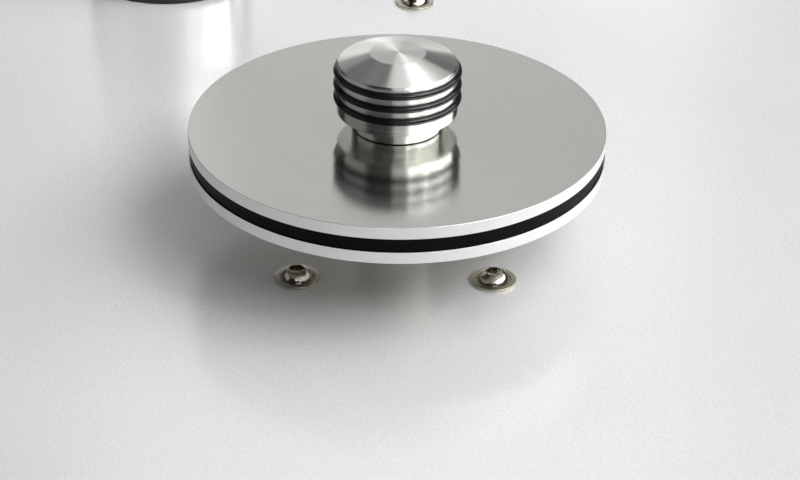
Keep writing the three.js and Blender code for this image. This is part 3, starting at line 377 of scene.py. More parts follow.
def lathed(name, colour, roughness, centre, rings, tone, depth, anisotropy):
    """Fine turning marks round a vertical axis: noise that changes with the distance from it and with height.

    The gloss is drawn out across the marks, so its direction is a quarter turn from the run round the axis.
    """
    marks_rough, spot_density, spot_rough = 0.03, 30, 0.01
    finish = Finish(name, colour, roughness, 1.0, Anisotropic=anisotropy, Anisotropic_Rotation=0.25)
    point = finish.place(centre)
    x, y, z = finish.split(point)
    radius = (x * x + y * y) ** 0.5
    across = finish.node("CombineXYZ", {}, radius, z)
    marks = finish.noise(across, rings, 4, 0.7)
    broad = finish.noise(across, rings / 12)
    spots = finish.noise(point, spot_density)
    finish.vary(marks + broad * 0.6, tone * 2)
    finish.feed("Roughness", roughness + marks * marks_rough + spots * spot_rough)
    if depth:
        finish.bump(marks, depth)
    return finish.material


def drawn(name, colour, roughness, metallic, along):
    """Long fine lines along one axis, from noise stretched along it, over slow clouds of roughness."""
    density, stretch, tone, rough, depth = 1500, 0.02, 0.1, 0.1, 0.005
    cloud_density, cloud_rough = 20, 0.06
    finish = Finish(name, colour, roughness, metallic)
    scale = [1.0, 1.0, 1.0]
    scale["xyz".index(along)] = stretch
    lines = finish.noise(finish.place(scale=tuple(scale)), density, 3, 0.6)
    slow = finish.noise(finish.place(), cloud_density)
    finish.vary(lines, tone)
    finish.feed("Roughness", roughness + lines * rough + slow * cloud_rough)
    finish.bump(lines, depth)
    return finish.material


deck = grained("satin_deck", (0.862, 0.88, 0.878), 0.21, 0.22, (1300, 0.075, 0.05, 0.005), (9, 0.02),
               Specular_IOR_Level=0.25)
disc_face = lathed("turned_disc", (0.772, 0.775, 0.736), 0.115, AXIS, 3200, 0.02, 0.0, 0.83)
# The platter disc's underside: the disc's turned metal copied darker, as painted shade that deepens the shade on the
# deck under the platter.
disc_underside_painted_shade = lathed("turned_underside_painted_shade", (0.5, 0.485, 0.45), 0.12, AXIS, 3200, 0.02, 0.0, 0.83)
disc_rim = grained("satin_rim", (0.885, 0.89, 0.885), 0.32, 0.25, (1500, 0.02, 0.04, 0.001), (40, 0.02))
knob_face = lathed("turned_knob", (0.878, 0.88, 0.85), 0.27, AXIS, 5200, 0.03, 0.0, 1.0)
hub_face = lathed("turned_hub", (0.9, 0.88, 0.83), 0.13, AXIS, 3000, 0.04, 0.0, 0.8)
tower_face = lathed("turned_tower", (0.84, 0.845, 0.85), 0.2, TOWER, 3000, 0.04, 0.003, 0.5)
layer_rubber = grained("layer_rubber", (0.0022, 0.0022, 0.0023), 0.45, 0.0, (700, 0.2, 0.08, 0.01), (40, 0.05),
                       Specular_IOR_Level=0.08)
ring_rubber = grained("ring_rubber", (0.008, 0.008, 0.009), 0.14, 0.0, (900, 0.2, 0.04, 0.003), (60, 0.03))
seal_rubber = grained("seal_rubber", (0.012, 0.012, 0.013), 0.42, 0.0, (900, 0.2, 0.1, 0.02), (60, 0.06))
foot_rubber = grained("foot_rubber", (0.018, 0.018, 0.019), 0.7, 0.0, (500, 0.25, 0.1, 0.05), (40, 0.08))
hose_rubber = grained("hose_rubber", (0.022, 0.022, 0.024), 0.5, 0.0, (600, 0.2, 0.1, 0.03), (40, 0.08))
screw_steel = grained("nickel_screw", (0.60, 0.565, 0.49), 0.17, 1.0, (1200, 0.05, 0.08, 0.006), (200, 0.06))
ground_steel = grained("ground_steel", (0.62, 0.61, 0.59), 0.26, 1.0, (1200, 0.06, 0.08, 0.006), (80, 0.06))
black_sheet = grained("black_powder_coat", (0.022, 0.022, 0.024), 0.52, 0.0, (420, 0.35, 0.16, 0.09), (12, 0.04))
motor_paint = grained("motor_lacquer", (0.02, 0.02, 0.021), 0.3, 0.0, (500, 0.2, 0.1, 0.02), (20, 0.05))
cast_metal = grained("cast_metal", (0.52, 0.53, 0.54), 0.46, 0.9, (380, 0.1, 0.12, 0.08), (30, 0.06))
post_metal = drawn("drawn_post", (0.72, 0.725, 0.73), 0.3, 0.95, "z")
arm_metal = drawn("drawn_arm", (0.78, 0.785, 0.79), 0.26, 0.95, "x")
black_plastic = grained("black_plastic", (0.02, 0.02, 0.021), 0.42, 0.0, (700, 0.2, 0.1, 0.04), (30, 0.05))
grey_plastic = grained("grey_plastic", (0.13, 0.135, 0.14), 0.45, 0.0, (600, 0.12, 0.1, 0.04), (30, 0.05))
tank_plastic = grained("tank_plastic", (0.70, 0.74, 0.75), 0.32, 0.0, (300, 0.04, 0.06, 0.02), (20, 0.06))
switch_plastic = grained("switch_plastic", (0.014, 0.014, 0.015), 0.24, 0.0, (900, 0.2, 0.06, 0.006), (60, 0.05))
tap_metal = grained("tap_nickel", (0.70, 0.69, 0.66), 0.2, 1.0, (900, 0.05, 0.06, 0.006), (60, 0.06))
mark_paint = grained("mark_paint", (0.8, 0.8, 0.79), 0.5, 0.0, (900, 0.03, 0.06, 0.002), (60, 0.03))
velvet = grained("velvet_pile", (0.012, 0.012, 0.015), 0.9, 0.0, (2600, 0.6, 0.05, 0.15), (150, 0.05),
                 Sheen_Weight=0.6, Sheen_Roughness=0.4)

SLOT_FINISH = {
    "deck_plate": deck, "front_fascia": deck, "black_sheet": black_sheet, "corner_post": post_metal,
    "foot_rubber": foot_rubber, "gear_case": cast_metal, "motor_case": motor_paint, "steel": ground_steel,
    "screw_steel": screw_steel, "seal_rubber": seal_rubber, "turned_aluminium": hub_face,
    "disc_aluminium": disc_face, "layer_rubber": layer_rubber, "knob_aluminium": knob_face,
    "ring_rubber": ring_rubber, "arm_aluminium": arm_metal, "black_plastic": black_plastic, "velvet": velvet,
    "hose_rubber": hose_rubber, "tank_plastic": tank_plastic, "grey_plastic": grey_plastic,
    "turbine_case": cast_metal, "tap_metal": tap_metal, "switch_plastic": switch_plastic,
}

for part in frame["record"]["subparts"]:
    node = frame["nodes"][part["node"]]
    for place in node.material_slots:
        place.material = SLOT_FINISH[part["material_slot"]]


# ---- Camera, floor and light ----

def photograph_camera():
    """The photograph's view: its pitch and roll in radians, its place from the clamp disc's top in radii of the disc,
    and its focal length in pixels of a picture 800 wide.
    """
    pitch, roll = 0.52585, 0.01281
    stand = Vector((0.02116222, -10.91615534, 5.69509295)) * DISC_RADIUS * MM
    focal_length, picture_width = 2568, 800
    forward = Vector((0, math.cos(pitch), -math.sin(pitch)))
    right, up = Vector((1, 0, 0)), Vector((0, math.sin(pitch), math.cos(pitch)))
    side = math.cos(roll) * right + math.sin(roll) * up
    rise = math.cos(roll) * up - math.sin(roll) * right
    data = bpy.data.cameras.new("photograph")
    data.sensor_width = 36
    data.lens = data.sensor_width * focal_length / picture_width
    data.clip_start, data.clip_end = 0.02, 50
    camera = bpy.data.objects.new("photograph", data)
    bpy.context.scene.collection.objects.link(camera)
    axes = Matrix((side, rise, -forward)).transposed().to_4x4()
    camera.matrix_world = Matrix.Translation(Vector(KNOB * MM) + stand) @ axes
    bpy.context.scene.camera = camera


def floor_and_backdrop():
    """A pale floor that curves up into a backdrop: straight, a quarter circle, then upright.

    The camera sees it paler than it is lit, and so do metal and glass near the machine.
    """
    full_within, none_beyond, mirrored = 0.45, 1.35, 0.6  # metres from the machine's middle, and the share
    near_edge, far_edge, side_edge, top_edge, bend_radius = -4000, 3100, 4500, 3600, 900
    bend = np.linspace(0, TURN / 4, 24)
    y = np.concatenate([[near_edge], far_edge - bend_radius * (1 - np.sin(bend)), [far_edge]])
    z = np.concatenate([[0], bend_radius * (1 - np.cos(bend)), [top_edge]])
    profile = np.stack([y, z], axis=-1)[:, None]
    sides = np.array([-side_edge, side_edge])[None, :, None] + 0 * profile[..., :1]
    vertices, faces = sheet(np.concatenate([sides, np.repeat(profile, 2, axis=1)], axis=-1))
    mesh = bpy.data.meshes.new("floor")
    mesh.from_pydata((vertices * MM).tolist(), [], faces[:, ::-1].tolist())
    mesh.shade_smooth()
    floor = bpy.data.objects.new("floor", mesh)
    bpy.context.scene.collection.objects.link(floor)
    paint = Finish("floor_paint", (0.78, 0.78, 0.78), 0.7)
    paint.vary(paint.noise(paint.place(), 1.5), 0.02)
    x, y, _ = paint.split(paint.place())
    near = ((none_beyond - (x * x + y * y) ** 0.5) / (none_beyond - full_within)).clamped()
    glow = paint.node("Emission", {}, (0.95, 0.95, 0.95, 1), 1.0)
    lit = Signal(paint, paint.shader.outputs[0])
    paint.surface(paint.backdrop(near) * mirrored, lit, glow, "Material Output")
    mesh.materials.append(paint.material)


def softbox(name, turn, rise, width, height, radiance, distance=1.1):
    """A soft lamp that faces the platter, at its turn from the front to the right and its rise, in degrees.

    Its power is its radiance times its area times pi.
    """
    turn, rise = math.radians(turn), math.radians(rise)
    away = Vector((math.cos(rise) * math.sin(turn), -math.cos(rise) * math.cos(turn), math.sin(rise)))
    side = Vector((math.cos(turn), math.sin(turn), 0))
    data = bpy.data.lights.new(name, "AREA")
    data.shape, data.size, data.size_y = "RECTANGLE", width, height
    data.energy = radiance * width * height * math.pi
    lamp = bpy.data.objects.new(name, data)
    bpy.context.scene.collection.objects.link(lamp)
    axes = Matrix((side, away.cross(side), away)).transposed().to_4x4()
    lamp.matrix_world = Matrix.Translation(Vector(AXIS * MM) + away * distance) @ axes
    lamp.visible_camera = False


def surroundings():
    """The world: a dim even light, and as pale as the floor where the camera sees it.

    Metal and glass see a share of that near the horizon and overhead.
    """
    horizon_until, overhead_from, overhead_gain = 0.2, 0.96, 30  # the first two as the sine of the rise
    horizon_share, overhead_share = 0.18, 0.8
    strengths = 0.015, 0.58
    world = bpy.data.worlds.new("studio")
    world.use_nodes = True
    bpy.context.scene.world = world
    sky = Nodes(world.node_tree)
    rise = sky.split(sky.node("TexCoord", {}, output="Generated"))[2]
    horizon = (1 - rise / horizon_until).clamped()
    overhead = ((rise - overhead_from) * overhead_gain).clamped()
    dim, pale = (sky.node("Background", {}, (1.0, 1.0, 1.0, 1), strength) for strength in strengths)
    shown = sky.backdrop(horizon * horizon_share + overhead * overhead_share)
    sky.surface(shown, dim, pale, "World Output")


photograph_camera()
floor_and_backdrop()
surroundings()
LAMPS = {  # turn, rise, width, height and radiance
    "front_box": (14, 12, 0.66, 0.46, 0.4),
    "front_side_box": (45, 38, 0.66, 0.23, 2.4),
    "side_box": (78, 34, 0.66, 0.23, 4.3),
    "rear_side_box": (112, 31, 0.66, 0.23, 4.4),
    "front_box_high": (14, 49, 0.66, 0.36, 1.5),
    "front_side_box_high": (45, 48, 0.62, 0.42, 3.9),
    "side_box_high": (78, 48, 0.62, 0.42, 3.1),
    "rear_side_box_high": (112, 48, 0.62, 0.42, 1.7),
    "top_box": (90, 66, 0.62, 0.36, 3.9),
    "top_back_box": (165, 66, 0.42, 0.36, 1.25),
    "back_box_low": (187, 9, 0.76, 0.44, 1.0),
    "back_box": (180, 27, 0.42, 0.36, 0.5),
    "back_box_high": (180, 46, 0.42, 0.36, 0.66),
    "back_left_box": (200, 27, 0.42, 0.36, 0.17),
    "left_box": (270, 34, 1.0, 0.46, 0.3),
}
for name, lamp in LAMPS.items():
    softbox(name, *lamp)


# ---- Platter and clamp ----

def disc(bore, radius, bottom, top, edge):
    """A flat ring with its outer corners rounded."""
    outline = rounded([(bore, bottom), (radius, bottom), (radius, top), (bore, top)], [0.05, edge, edge, 0.05])
    return turned(outline, AXIS, segments=360)


build("clamp_disc_turned", disc(3.9, DISC_RADIUS, 27.7, CLAMP_TOP, 0.1), "clamp", disc_face,
      ["clamp_disc"], upright=disc_rim)
# The platter disc takes the darker underside copy, which is painted shade; only a thin ring of its top shows past the
# mat.
build("platter_disc_turned", disc(3.25, DISC_RADIUS, 21.1, 24.15, 0.1), "platter", disc_underside_painted_shade,
      ["platter_disc"], upright=disc_rim)
build("platter_mat_moulded", disc(LAYER_BORE, LAYER_RADIUS, 24.2, 25.9, 0.04), "platter", layer_rubber,
      ["platter_mat"])
build("clamp_gasket_moulded", disc(LAYER_BORE, LAYER_RADIUS, 25.95, 27.65, 0.04), "clamp", layer_rubber,
      ["clamp_gasket"])

thrust = rounded([(3.9, 0.22), (11.4, 0.22), (11.4, 4.0), (7.0, 4.0), (7.0, 6.4), (3.9, 6.4)],
                 [0.1, 0.25, 0.3, 0.1, 0.2, 0.1])
build("thrust_ring_turned", turned(thrust, KNOB), "clamp", knob_face, ["thrust_ring"])
washer = rounded([(3.9, 0.01), (11.2, 0.01), (11.2, 0.2), (3.9, 0.2)], 0.03)
build("knob_washer_punched", turned(washer, KNOB), "clamp", layer_rubber, ["knob_washer"])


def knob_outline():
    """From the blind bore's end down the inside, then up the band with its three grooves and over the top."""
    band, groove, half_groove = 15.1, 14.05, 0.95
    corners = [((0, 15.6), 0), ((3.3, 15.6), 0.1), ((3.3, 6.75), 0.1), ((7.35, 6.75), 0.1), ((7.35, 4.1), 0.15),
               ((band, 4.1), 0.4)]
    for middle in RING_HEIGHTS.values():
        low, high = middle - half_groove, middle + half_groove
        corners += [((band, low), 0.12), ((groove, low), 0.45), ((groove, high), 0.45), ((band, high), 0.12)]
    corners += [((band, 17.05), 0.25), ((14.75, 17.55), 0.2), ((7.0, 20.05), 0.08), ((0, 20.35), 0)]
    points, radii = zip(*corners)
    return rounded(points, radii, closed=False)


build("clamp_knob_turned", turned(knob_outline(), KNOB, closed=False, segments=256), "knob", knob_face,
      ["clamp_knob"], crease=14)
for name, height in RING_HEIGHTS.items():
    build("grip_ring_" + name, ring(KNOB + [0, 0, height], 15.2, 0.85), "knob", ring_rubber,
          ["knob_ring_" + name])

hub = rounded([(5.3, -3), (9.65, -3), (9.65, 18.05), (17, 18.05), (17, 21.05), (3.25, 21.05), (3.25, 14.2),
               (5.3, 14.2)], [0.2, 0.3, 0.5, 0.3, 0.3, 0.1, 0.1, 0.1])
build("platter_hub_turned", turned(hub, AXIS), "platter", hub_face, ["platter_hub"])
seal = rounded([(10, -5), (13, -5), (13, 0), (11.9, 0), (11.8, -1), (11.2, -1), (10, 0.3)],
               [0.1, 0.1, 0.15, 0.15, 0.1, 0.2, 0.08])
build("shaft_seal_moulded", turned(seal, AXIS), "case", seal_rubber, ["shaft_seal"])


def threaded_spindle(steps=420, segments=72):
    """A turned pin with a threaded end: r = outline(h) less the thread's depth times a triangle wave of h - t / turn.

    h is in millimetres, and so is the thread's pitch of one. The thread fades in and out at its ends, and the pin's
    end faces have none.
    """
    start, fade_in, end, fade_out = 32.6, 0.4, 44.4, 0.6
    depth, core = 0.5, 2.5
    corners = [(0, 14.25), (2.95, 14.25), (2.95, 24.2), (10, 24.2), (10, 25.9), (3.55, 25.9), (3.55, 32.3),
               (2.95, 32.3), (2.95, 44.8), (0, 44.8)]
    outline = rounded(corners, [0, 0.4, 0.05, 0.05, 0.2, 0.1, 0.3, 0.05, 0.6, 0], closed=False)
    length = np.concatenate([[0], np.cumsum(np.linalg.norm(np.diff(outline, axis=0), axis=1))])
    s = np.unique(np.concatenate([np.linspace(0, length[-1], steps), length]))
    r, h = (np.interp(s, length, outline[:, i])[:, None] for i in (0, 1))
    t = np.linspace(0, TURN, segments, endpoint=False)[None, :]
    wave = 2 * np.abs(np.mod(h - t / TURN, 1) - 0.5)
    threaded = np.clip((h - start) / fade_in, 0, 1) * np.clip((end - h) / fade_out, 0, 1) * (r > core)
    radius = r - depth * wave * threaded
    points = np.stack([radius * np.cos(t), radius * np.sin(t), h + 0 * t], axis=-1)
    return outward(sheet(points + AXIS, closed_v=True))


build("spindle_threaded", threaded_spindle(), "platter", ground_steel, ["spindle"], crease=50)


# ---- Screws ----

def flanged_screw(centre, segments=96):
    """A button screw with a flange: rings round the axis whose radius turns from a circle to a hexagon inwards.

    The dome is part of a circle, and the hexagon's radius is half its width over cos(t mod 60 degrees - 30 degrees).
    """
    dome_radius, half_socket = 4.2, 1.65
    rise = np.radians(np.linspace(22, 64, 16))
    flange = rounded([(0, -15), (2.4, -15), (2.4, 0.05), (5.7, 0.05), (5.7, 0.72), (4.45, 0.8), (4.3, 0.55),
                      (4.2, 0.6)], [0, 0.3, 0.05, 0.12, 0.14, 0.05, 0.05, 0], closed=False)
    dome = np.stack([0.31 + dome_radius * np.cos(rise), dome_radius * np.sin(rise) - 0.92], axis=-1)
    outer = np.vstack([flange, dome])
    t = np.linspace(0, TURN, segments, endpoint=False)
    socket = half_socket / np.cos(np.mod(t, TURN / 6) - TURN / 12)
    radii = [np.full(segments, r) for r in outer[:, 0]]
    radii += [socket * 0.5 + 0.98, socket + 0.03, socket, socket, socket * 0.55, socket * 0]
    heights = [*outer[:, 1], 2.86, 2.83, 2.7, 1.25, 1.05, 0.9]
    r = np.array(radii)
    h = np.repeat(np.array(heights)[:, None], segments, axis=1)
    points = np.stack([r * np.cos(t), r * np.sin(t), h], axis=-1)[:, ::-1]
    return sheet(points + centre, closed_v=True)


SCREWS = {
    "motor_screw_front_left": AXIS + [-24.5, -24.5, 0], "motor_screw_front_right": AXIS + [24.5, -24.5, 0],
    "motor_screw_rear_left": AXIS + [-24.5, 24.5, 0], "motor_screw_rear_right": AXIS + [24.5, 24.5, 0],
    "turbine_screw_rear": TURBINE + [0, 29, 0], "turbine_screw_front": TURBINE + [0, -29, 0],
}
for name, centre in SCREWS.items():
    build(name + "_forged", flanged_screw(centre), "case", screw_steel, [name], crease=40)


# ---- Arm tower ----

tower = rounded([(10.35, -30), (13, -30), (13, 2.55), (25, 2.55), (25, 27), (15.2, 27), (15.2, 7), (10.35, 7)],
                [0.3, 0.5, 0.1, 0.3, 0.9, 0.5, 0.5, 0.3])
build("arm_tower_turned", turned(tower, TOWER), "case", tower_face, ["arm_tower"])
gasket = rounded([(13.3, 0.05), (26, 0.05), (26, 2.5), (13.3, 2.5)], [0.2, 0.5, 1.0, 0.2])
build("tower_gasket_moulded", turned(gasket, TOWER), "case", seal_rubber, ["tower_gasket"])


# ---- Suction arm ----

nozzle = rounded([(8, -31.8), (11.8, -31.8), (11.8, -30.3), (10, -30.3), (10, 27.05), (14.2, 27.05), (14.2, 32.25),
                  (10, 32.25), (10, 49.6), (8, 49.6)], [0.2, 0.3, 0.3, 0.1, 0.1, 0.5, 0.5, 0.1, 0.3, 0.3])
build("lift_pipe_ground", turned(nozzle, TOWER), "lift", ground_steel, ["lift_pipe"])
head = rounded([(0, 50), (10.15, 50), (10.15, 32.35), (22, 32.35), (22, 35.35), (21.2, 35.35), (21.2, 36.55),
                (22, 36.55), (22, 53), (0, 53)], [0, 0.1, 0.3, 1.1, 0.15, 0.1, 0.1, 0.15, 1.2, 0], closed=False)
build("arm_head_turned", turned(head, TOWER, closed=False), "arm", tower_face, ["arm_head"])


def along_arm(across, up, along):
    """The arm's outlines stand across it, at stations along +X from the tower's axis."""
    return along + TOWER[0], across + TOWER[1], up + TOWER[2] + ARM_HEIGHT


def arm_shell():
    """A rounded box section with a wall, split along its underside.

    The outer outline runs from one lip of the split round to the other, and the inner one back. The lips' distance
    from the middle changes along the arm, and each end is closed by faces from the outer outline to the inner one.
    """
    def section(lip):
        outer, inner = (np.roll(oblong(16 - 2 * wall, 14 - 2 * wall, 4 - wall, 12), 14, axis=0) for wall in (0, 1.5))
        return np.vstack([[(lip, -7)], outer, [(-lip, -7), (-lip, -5.5)], inner[::-1], [(lip, -5.5)]])

    rows = np.array([section(lip) for lip in (0.03, 0.03, 0.9, 0.9, 0.03, 0.03)])
    along = np.array([19.0, 27.4, 27.5, 115.0, 115.1, 117.95])[:, None] + 0 * rows[..., 0]
    points, faces = sheet(np.stack(along_arm(rows[..., 0], rows[..., 1], along), axis=-1), closed_v=True)
    count = rows.shape[1]
    i = np.arange(count // 2 - 1)
    end = np.stack([i, i + 1, count - 2 - i, count - 1 - i], axis=-1)
    return outward((points, np.vstack([faces, end, end[:, ::-1] + count * (len(rows) - 1)])))


build("arm_tube_drawn", arm_shell(), "arm", arm_metal, ["arm_tube"])

bend, edge = np.linspace(0, TURN / 4, 6), 0.7
plug = [oblong(15.6, 13.6, 3.8), oblong(16, 14, 4)]
plug += [oblong(16 - 2 * inset, 14 - 2 * inset, 4 - inset) for inset in edge * (1 - np.cos(bend))]
build("arm_end_plug_moulded", lofted(plug, [118.0, 118.2, *(120.3 + edge * np.sin(bend))], along_arm), "arm",
      black_plastic, ["arm_end_plug"])


def velvet_pad(side, steps=160):
    """A long pad with soft corners: its outline shrinks near each end as the root of one less the square of the way
    into the rounding, and its pile waves slightly.
    """
    width, height, rounding = 5.18, 1.93, 1.2
    x = np.linspace(24.55, 117.95, steps)
    into = np.clip(1 - np.minimum(x - x[0], x[-1] - x) / rounding, 0, 0.97)
    share = np.sqrt(1 - into ** 2)
    wave = 0.03 * np.sin(x * 1.7) + 0.02 * np.sin(x * 4.1 + side)
    outlines = [oblong(width * (0.7 + 0.3 * k), (height + w) * (0.4 + 0.6 * k), 0.75 * k + 0.05)
                for k, w in zip(share, wave)]
    return lofted([outline + [side * 3.5, -8.05] for outline in outlines], x, along_arm)


for name, side in (("front", -1), ("rear", 1)):
    build("velvet_strip_%s_tufted" % name, velvet_pad(side), "arm", velvet, ["velvet_strip_" + name])


def coil(turns=5, radius=12.6, wire=1.5, low=8.05, high=26.0, steps=360, sides=14):
    """A compression spring: the wire's circle in the plane of the radius and the axis, round a helix whose first and
    last three quarter turns lie flat; both ends of the wire are closed.
    """
    u = np.linspace(0, turns, steps)
    z = np.interp(u, [0, 0.75, turns - 0.75, turns], [low, low + 0.3, high - 0.3, high])
    s = np.linspace(0, TURN, sides, endpoint=False)
    size = np.concatenate([[0], np.full(steps - 2, wire / 2), [0]])[:, None]
    r = radius + size * np.cos(s)
    angle = u[:, None] * TURN
    points = np.stack([r * np.cos(angle), r * np.sin(angle), z[:, None] + size * np.sin(s)], axis=-1)
    return outward(sheet(points + TOWER, closed_v=True))


spring = build("lift_spring_wound", coil(), "case", ground_steel, ["lift_spring"])
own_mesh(spring)


# ---- Case ----

def corner_post(place, quarter):
    """The post's section, drawn upwards: a quarter circle and two grooves for the panels, turned to its corner."""
    t = np.linspace(TURN / 2, TURN * 3 / 4, 24)
    arc = np.stack([10 + 10 * np.cos(t), 10 + 10 * np.sin(t)], axis=-1)
    grooves = [(22, 0), (22, 2.7), (16, 2.7), (16, 7.3), (22, 7.3), (22, 22), (7.3, 22), (7.3, 16), (2.7, 16),
               (2.7, 22), (0, 22)]
    section = np.vstack([arc, grooves])
    c, s = math.cos(quarter * TURN / 4), math.sin(quarter * TURN / 4)
    section = section @ np.array([[c, s], [-s, c]]) + place
    height = np.array([18.05, 167.95])[:, None, None] + 0 * section[:, :1]
    points, faces = sheet(np.concatenate([np.stack([section, section]), height], axis=-1), closed_v=True)
    count = len(section)
    caps = [list(range(count))[::-1], list(range(count, 2 * count))]
    return points, faces[:, ::-1].tolist() + caps


for name, sx, sy, quarter in (("front_left", -1, -1, 0), ("front_right", 1, -1, 1), ("rear_right", 1, 1, 2),
                              ("rear_left", -1, 1, 3)):
    post = build("corner_post_%s_drawn" % name, corner_post((sx * 182, sy * 176 + MIDDLE), quarter), "case",
                 post_metal, ["corner_post_" + name])
    bevel = post.modifiers.new("edge", "BEVEL")
    bevel.width, bevel.segments, bevel.limit_method, bevel.angle_limit = 0.3 * MM, 2, "ANGLE", math.radians(40)
    foot = rounded([(0, 9), (5, 9), (5, 0), (13, 0), (14.6, 1.6), (17, 14.95), (0, 14.95)],
                   [0, 0.4, 1.2, 0.8, 0.8, 0.5, 0], closed=False)
    build("foot_%s_moulded" % name, turned(foot, (sx * 148, sy * 142 + MIDDLE, 0), closed=False, segments=96), "case",
          foot_rubber, ["foot_" + name])


# ---- Switches ----

SWITCH_HEIGHT = 128
ROCKER_HALF = 10.2  # from a rocker's middle to the end of each face


def switch_case(x0):
    """The switch's body through the panel, its bezel in front, and the pocket for the rocker, as one skin."""
    sizes = [(19.4, 27.6, 0.6, 24), (19.4, 27.6, 0.6, 0), (21.9, 29.9, 2.4, -0.05), (22, 30, 2.5, -0.25),
             (22, 30, 2.5, -1.3), (21.7, 29.7, 2.4, -1.75), (21.1, 29.1, 2.1, -2.05), (18.6, 26.1, 1.3, -2.05),
             (17.9, 25.4, 1.0, -1.95), (17.4, 24.9, 0.8, -1.5), (17.4, 24.9, 0.8, 11)]
    outlines = [oblong(width, height, corner) for width, height, corner, _ in sizes]
    return lofted(outlines, [size[3] for size in sizes], lambda x, z, y: (x + x0, y + FRONT, z + SWITCH_HEIGHT))


def on_rocker(x0, tilt):
    """Places points of a rocker that lie forward of its pivot, up and across, in millimetres."""
    c, s = math.cos(tilt), math.sin(tilt)

    def lay(forward, z, x):
        return x + x0, -forward * c - z * s + ROCKER_PIVOT, -forward * s + z * c + SWITCH_HEIGHT

    return lay


def rocker_face(height):
    """How far forward of the pivot the hollow faces lie: least in the middle, more with the height from it."""
    return 4.6 + 1.7 * np.abs(height / ROCKER_HALF) ** 1.15


def rocker(x0, tilt):
    """A seesaw's section, with its two hollow faces between arcs round the pivot, drawn across its width; the
    outlines at its sides are drawn in to round them.
    """
    arc = np.radians(np.linspace(121.7, 70, 14))
    arc = np.stack([-12 * np.cos(arc), 12 * np.sin(arc)], axis=-1)
    heights = np.linspace(-ROCKER_HALF, ROCKER_HALF, 9)[1:-1]
    face = np.stack([rocker_face(heights), heights], axis=-1)
    section = np.vstack([face, arc, arc[::-1] * [1, -1]])
    shares = [0.94, 0.975, 0.993, 1, 1, 0.993, 0.975, 0.94]
    stations = [-8.35, -8.15, -7.8, -7.2, 7.2, 7.8, 8.15, 8.35]
    return lofted([section * share for share in shares], stations, on_rocker(x0, tilt))


def mark(outline, thickness=0.12):
    """A flat mark: its outline raised a little, with its rim drawn in."""
    return [outline, outline, outline * 0.97], [-0.1, thickness - 0.04, thickness]


def rocker_marks(x0, tilt, signs):
    """Bars and rings on a rocker's two faces, at their heights; each face leans forwards by 9 degrees."""
    place = on_rocker(x0, tilt)
    parts = []
    for kind, x, height in signs:
        lean = math.copysign(math.radians(9), height)

        def lay(across, up, out):
            z = height + up * math.cos(lean) - out * math.sin(lean)
            forward = rocker_face(height) + up * math.sin(lean) + out * math.cos(lean)
            return place(forward, z, x + across)

        if kind == "bar":
            parts.append(lofted(*mark(oblong(0.7, 4.2, 0.15, 4)), lay))
        else:
            t = np.linspace(0, TURN, 48, endpoint=False)[None, :]
            r, out = np.array([2.0, 2.1, 1.5, 1.4])[:, None], np.array([-0.1, 0.1, 0.1, -0.1])[:, None]
            grid = lay(r * np.cos(t), 1.15 * r * np.sin(t), out + 0 * t)
            parts.append(outward(sheet(np.stack(grid, axis=-1), closed_u=True, closed_v=True)))
    return join(*parts)


TILT = math.radians(10)
for name, x0, tilt, signs in (
        ("motor", 96, 0, [("bar", 0, 6.2), ("bar", -0.75, -6.2), ("bar", 0.75, -6.2)]),
        ("vacuum", 136, TILT, [("bar", 0, 6.2), ("ring", 0, -6.2)])):
    build(name + "_switch_moulded", switch_case(x0), "case", switch_plastic, [name + "_switch"])
    build(name + "_rocker_moulded", rocker(x0, tilt), name + "_key", switch_plastic,
          [name + "_rocker"])
    build(name + "_rocker_marks", rocker_marks(x0, tilt, signs), name + "_key", mark_paint)


# ---- Mains inlet and drain tap ----

INLET = REAR + [128, 0, 52]
TAP = REAR + [-107, 0, 30]


def at_inlet(x, z, y):
    """The inlet's outlines stand across it, at stations along +Y from the rear panel's face."""
    return x + INLET[0], y + INLET[1], z + INLET[2]


def socket_outline(width, height, chamfer, steps=8):
    """A rectangle with its two upper corners cut off and its lower ones nearly sharp, with as many points as an
    oblong: each corner is a straight run of them.
    """
    k = np.linspace(0, 1, steps + 2)[:, None]
    right, top = width / 2, height / 2
    cuts = [((right, top - chamfer), (right - chamfer, top)), ((chamfer - right, top), (-right, top - chamfer)),
            ((-right, 0.4 - top), (0.4 - right, -top)), ((right - 0.4, -top), (right, 0.4 - top))]
    return np.vstack([np.array(start) * (1 - k) + np.array(end) * k for start, end in cuts])


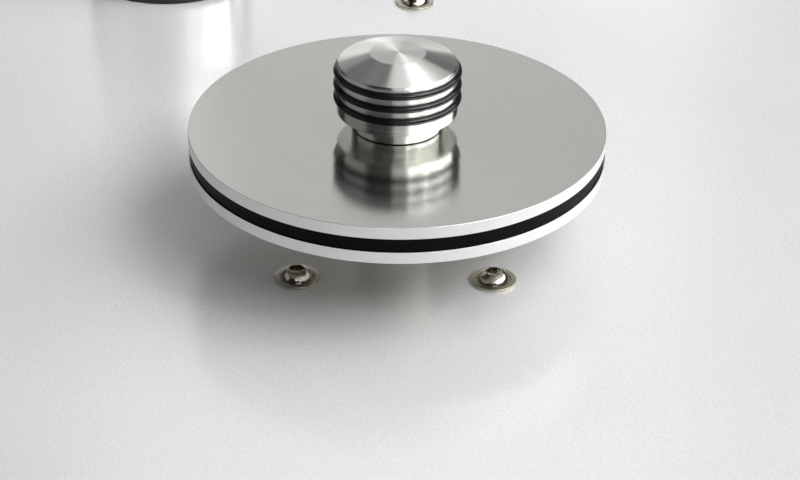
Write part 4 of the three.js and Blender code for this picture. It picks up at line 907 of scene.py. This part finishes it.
inlet_outlines = [oblong(27.4, 20.4, 0.8), oblong(27.4, 20.4, 0.8), oblong(31.4, 24.9, 2.4), oblong(31.5, 25, 2.5),
                  oblong(31.5, 25, 2.5), oblong(30.9, 24.4, 2.3), socket_outline(25.2, 17.4, 4.7),
                  socket_outline(24.2, 16.4, 4.5), socket_outline(24.2, 16.4, 4.5)]
build("mains_inlet_moulded",
      lofted(inlet_outlines, [-24, 0, 0.05, 0.3, 1.8, 2.25, 2.25, 1.75, -14.75], at_inlet), "case", black_plastic,
      ["mains_inlet"])
pins = [lofted([outline + [x, z] for outline in (oblong(2, 4, 0.3), oblong(2, 4, 0.3), oblong(1.2, 3.2, 0.3))],
               [-14.8, -0.4, 0.25], at_inlet) for x, z in ((-7, -2), (0, 2), (7, -2))]
build("mains_inlet_pins", join(*pins), "case", ground_steel)

barrel = rounded([(0, -20), (5, -20), (5, 3.5), (8, 3.5), (8, 21.55), (4, 21.55), (4, 29.05), (4.7, 29.05),
                  (4, 32.8), (4.7, 32.8), (3.3, 36.55), (2.4, 36.55), (2.4, 26.55), (0, 26.55)],
                 [0, 0.3, 0.1, 0.8, 0.9, 0.8, 0.05, 0.3, 0.1, 0.3, 0.4, 0.3, 0.1, 0], closed=False)
barrel = about_y(turned(barrel, (0, 0, 0), closed=False, segments=96), TAP)
nut = lofted([hexagon(19, 10.1), hexagon(19, 11), hexagon(19, 11), hexagon(19, 10)], [0.05, 0.6, 2.9, 3.5],
             lambda x, z, y: (x + TAP[0], y + TAP[1], z + TAP[2]))
STEM = TAP + [0, 12.55, 0]
stem = rounded([(0, 0), (4.6, 0), (4.6, 8.2), (3, 8.2), (3, 13), (0, 13)], [0, 0.1, 0.4, 0.2, 0.4, 0], closed=False)
stem = turned(stem, STEM, closed=False, segments=64)
build("drain_tap_turned", join(barrel, nut, stem), "case", tap_metal, ["drain_tap"])

cap = rounded([(0, 13.2), (3.4, 13.2), (3.4, 8.4), (5.5, 8.4), (5.5, 16.3), (0, 16.3)], [0, 0.2, 0.2, 0.4, 0.6, 0],
              closed=False)
cap = turned(cap, STEM, closed=False, segments=64)
blade = lofted([oblong(26 - d, 8 - d, 4 - d / 2, 16) + [9, 0] for d in (0.9, 0.25, 0, 0, 0.25, 0.9)],
               [13.35, 13.5, 13.9, 15.8, 16.2, 16.35], lambda x, y, z: (x + STEM[0], y + STEM[1], z + STEM[2]))
build("drain_lever_moulded", join(cap, blade), "tap_lever", black_plastic, ["drain_lever"])
